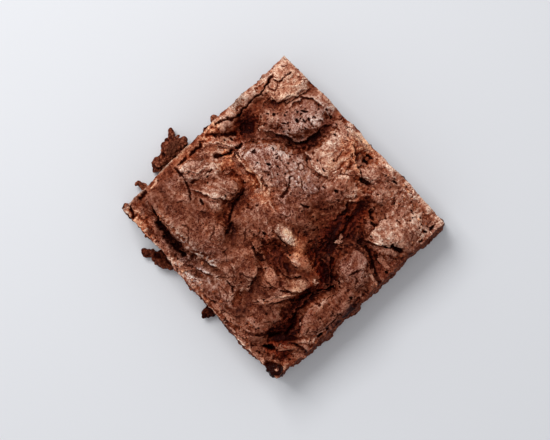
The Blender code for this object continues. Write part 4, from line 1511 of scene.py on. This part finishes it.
def speckle(nodes, links, place):
    """Brightness of a dark stipple that comes and goes over an even ground."""
    grain = noise_texture(nodes, links, place, 2000, 4)
    fine = remapped(nodes, links, grain, 0.37, 0.62, 0.0, 1.46)
    strength = remapped(nodes, links, noise_texture(nodes, links, place, 120, 3), 0.40, 0.62, 0.62, 0.12)
    links.new(strength, fine.node.inputs["To Min"])
    broad = remapped(nodes, links, noise_texture(nodes, links, place, 700, 3), 0.35, 0.60, 0.88, 1.08)
    return multiplied(nodes, links, fine, broad)


# Where baked chocolate is darker it is also redder: powers of the brightness for red, green and blue.
REDDENING = (0.80, 1.32, 1.42)


def shaded(nodes, links, colour, brightness):
    """The colour made brighter or darker, redder as it darkens."""
    channels = nodes.new("ShaderNodeCombineXYZ")
    for channel, power in zip(channels.inputs, REDDENING):
        raised = nodes.new("ShaderNodeMath")
        raised.operation = "POWER"
        raised.inputs[1].default_value = power
        links.new(brightness, raised.inputs[0])
        links.new(raised.outputs["Value"], channel)
    product = nodes.new("ShaderNodeVectorMath")
    product.operation = "MULTIPLY"
    links.new(colour, product.inputs[0])
    links.new(channels.outputs["Vector"], product.inputs[1])
    return product.outputs["Vector"]


def pit_mask(nodes, links, place, spacing, radius):
    """1 on the surface and 0 in small scattered pits, about as far apart as the spacing in metres."""
    warp = nodes.new("ShaderNodeTexNoise")
    warp.inputs["Scale"].default_value = 1.4 / spacing
    links.new(place, warp.inputs["Vector"])
    shift = nodes.new("ShaderNodeVectorMath")
    shift.operation = "MULTIPLY_ADD"
    shift.inputs[1].default_value = (spacing,) * 3
    links.new(warp.outputs["Color"], shift.inputs[0])
    links.new(place, shift.inputs[2])
    cells = nodes.new("ShaderNodeTexVoronoi")
    cells.inputs["Scale"].default_value = 1 / spacing
    links.new(shift.outputs["Vector"], cells.inputs["Vector"])
    return remapped(nodes, links, cells.outputs["Distance"], radius * 0.5, radius, 0.0, 1.0)


def baked_material(name, specular, roughness_low, roughness_high, bumps):
    """Baked chocolate: its colour from the points, with fine speckle, pits, uneven gloss and grain."""
    material, nodes, links = new_material(name)
    shader = nodes["Principled BSDF"]
    shader.inputs["Specular IOR Level"].default_value = specular
    place = nodes.new("ShaderNodeTexCoord").outputs["Object"]
    tint = nodes.new("ShaderNodeVertexColor")
    tint.layer_name = "tint"
    speck = speckle(nodes, links, place)
    pits = pit_mask(nodes, links, place, 0.0014, 0.24)
    pit_shade = remapped(nodes, links, pits, 0.0, 1.0, 0.25, 1.0)
    shade = multiplied(nodes, links, speck, pit_shade)
    links.new(shaded(nodes, links, tint.outputs["Color"], shade), shader.inputs["Base Color"])
    gloss = noise_texture(nodes, links, place, 260, 5)
    links.new(
        remapped(nodes, links, gloss, 0.35, 0.65, roughness_low, roughness_high),
        shader.inputs["Roughness"],
    )
    normal = None
    heights = [(noise_texture(nodes, links, place, scale, 3), distance) for scale, distance in bumps]
    heights.append((pits, 0.0002))
    for height, distance in heights:
        bump = nodes.new("ShaderNodeBump")
        bump.inputs["Strength"].default_value = 1.0
        bump.inputs["Distance"].default_value = distance
        links.new(height, bump.inputs["Height"])
        if normal:
            links.new(normal, bump.inputs["Normal"])
        normal = bump.outputs["Normal"]
    links.new(normal, shader.inputs["Normal"])
    return material


# ---- The stage -------------------------------------------------------------------------------------------------------
CAMERA_LENS = 90.0
SENSOR_WIDTH = 36.0
VIEW_WIDTH = 220.5
CRUST_LEVEL = 26.0
CAMERA_TURN = math.radians(45)
CAMERA_SHIFT = -2.4


def make_camera():
    """Straight down, with the brownie's corner to the top of the picture."""
    data = bpy.data.cameras.new("camera")
    data.lens = CAMERA_LENS
    data.sensor_width = SENSOR_WIDTH
    camera = bpy.data.objects.new("camera", data)
    across = CAMERA_SHIFT * math.cos(CAMERA_TURN)
    above = CRUST_LEVEL + VIEW_WIDTH / SENSOR_WIDTH * CAMERA_LENS
    camera.location = Vector((across, across, above)) * MM
    camera.rotation_euler = (0, 0, CAMERA_TURN)
    bpy.context.scene.collection.objects.link(camera)
    bpy.context.scene.camera = camera


def make_light(name, azimuth, elevation, distance, size, power):
    """A soft square lamp that faces the brownie. Azimuth 180 stands to the west."""
    data = bpy.data.lights.new(name, "AREA")
    data.size = size
    data.energy = power
    lamp = bpy.data.objects.new(name, data)
    flat = math.cos(math.radians(elevation))
    way = Vector((
        flat * math.cos(math.radians(azimuth)),
        flat * math.sin(math.radians(azimuth)),
        math.sin(math.radians(elevation)),
    ))
    lamp.location = way * distance
    lamp.rotation_euler = way.to_track_quat("Z", "Y").to_euler()
    bpy.context.scene.collection.objects.link(lamp)


def make_world():
    world = bpy.data.worlds.new("studio")
    world.use_nodes = True
    background = world.node_tree.nodes["Background"]
    background.inputs["Color"].default_value = (0.97, 0.98, 1.0, 1.0)
    background.inputs["Strength"].default_value = 0.5
    bpy.context.scene.world = world


def make_floor():
    material, nodes, _ = new_material("floor")
    nodes["Principled BSDF"].inputs["Base Color"].default_value = (0.78, 0.79, 0.82, 1.0)
    nodes["Principled BSDF"].inputs["Roughness"].default_value = 0.6
    bpy.ops.mesh.primitive_plane_add(size=6.0, location=(0, 0, -0.0002))
    floor = bpy.context.object
    floor.name = "floor"
    floor.data.materials.append(material)


def finish_piece(piece, material):
    piece.data.materials.append(material)
    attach(piece, "root")
    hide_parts("brownie")


bpy.context.scene.view_settings.view_transform = "Standard"
make_camera()
make_light("key", 172, 55, 0.9, 0.45, 5.0)
make_world()
make_floor()

crust_material = baked_material("crust", 0.06, 0.42, 0.72, ((1000, 0.00028), (2600, 0.00008)))
crumb_material = baked_material("crumb", 0.05, 0.55, 0.85, ((700, 0.0005), (2200, 0.0002)))

chip_material = baked_material("chip", 0.05, 0.25, 0.45, ((900, 0.0001),))

fields = crust_fields()
halves, crust_grid = make_crust(fields)
crumb, crumb_points = make_crumb(crust_grid)
flakes = make_flakes(fields)
crumbs = make_crumbs(fields, crust_grid, crumb_points)
for half in halves:
    finish_piece(half, crust_material)
finish_piece(crumb, crumb_material)
finish_piece(make_lumps(), crumb_material)
finish_piece(flakes, crust_material)
finish_piece(crumbs, crumb_material)
finish_piece(make_chip(), chip_material)
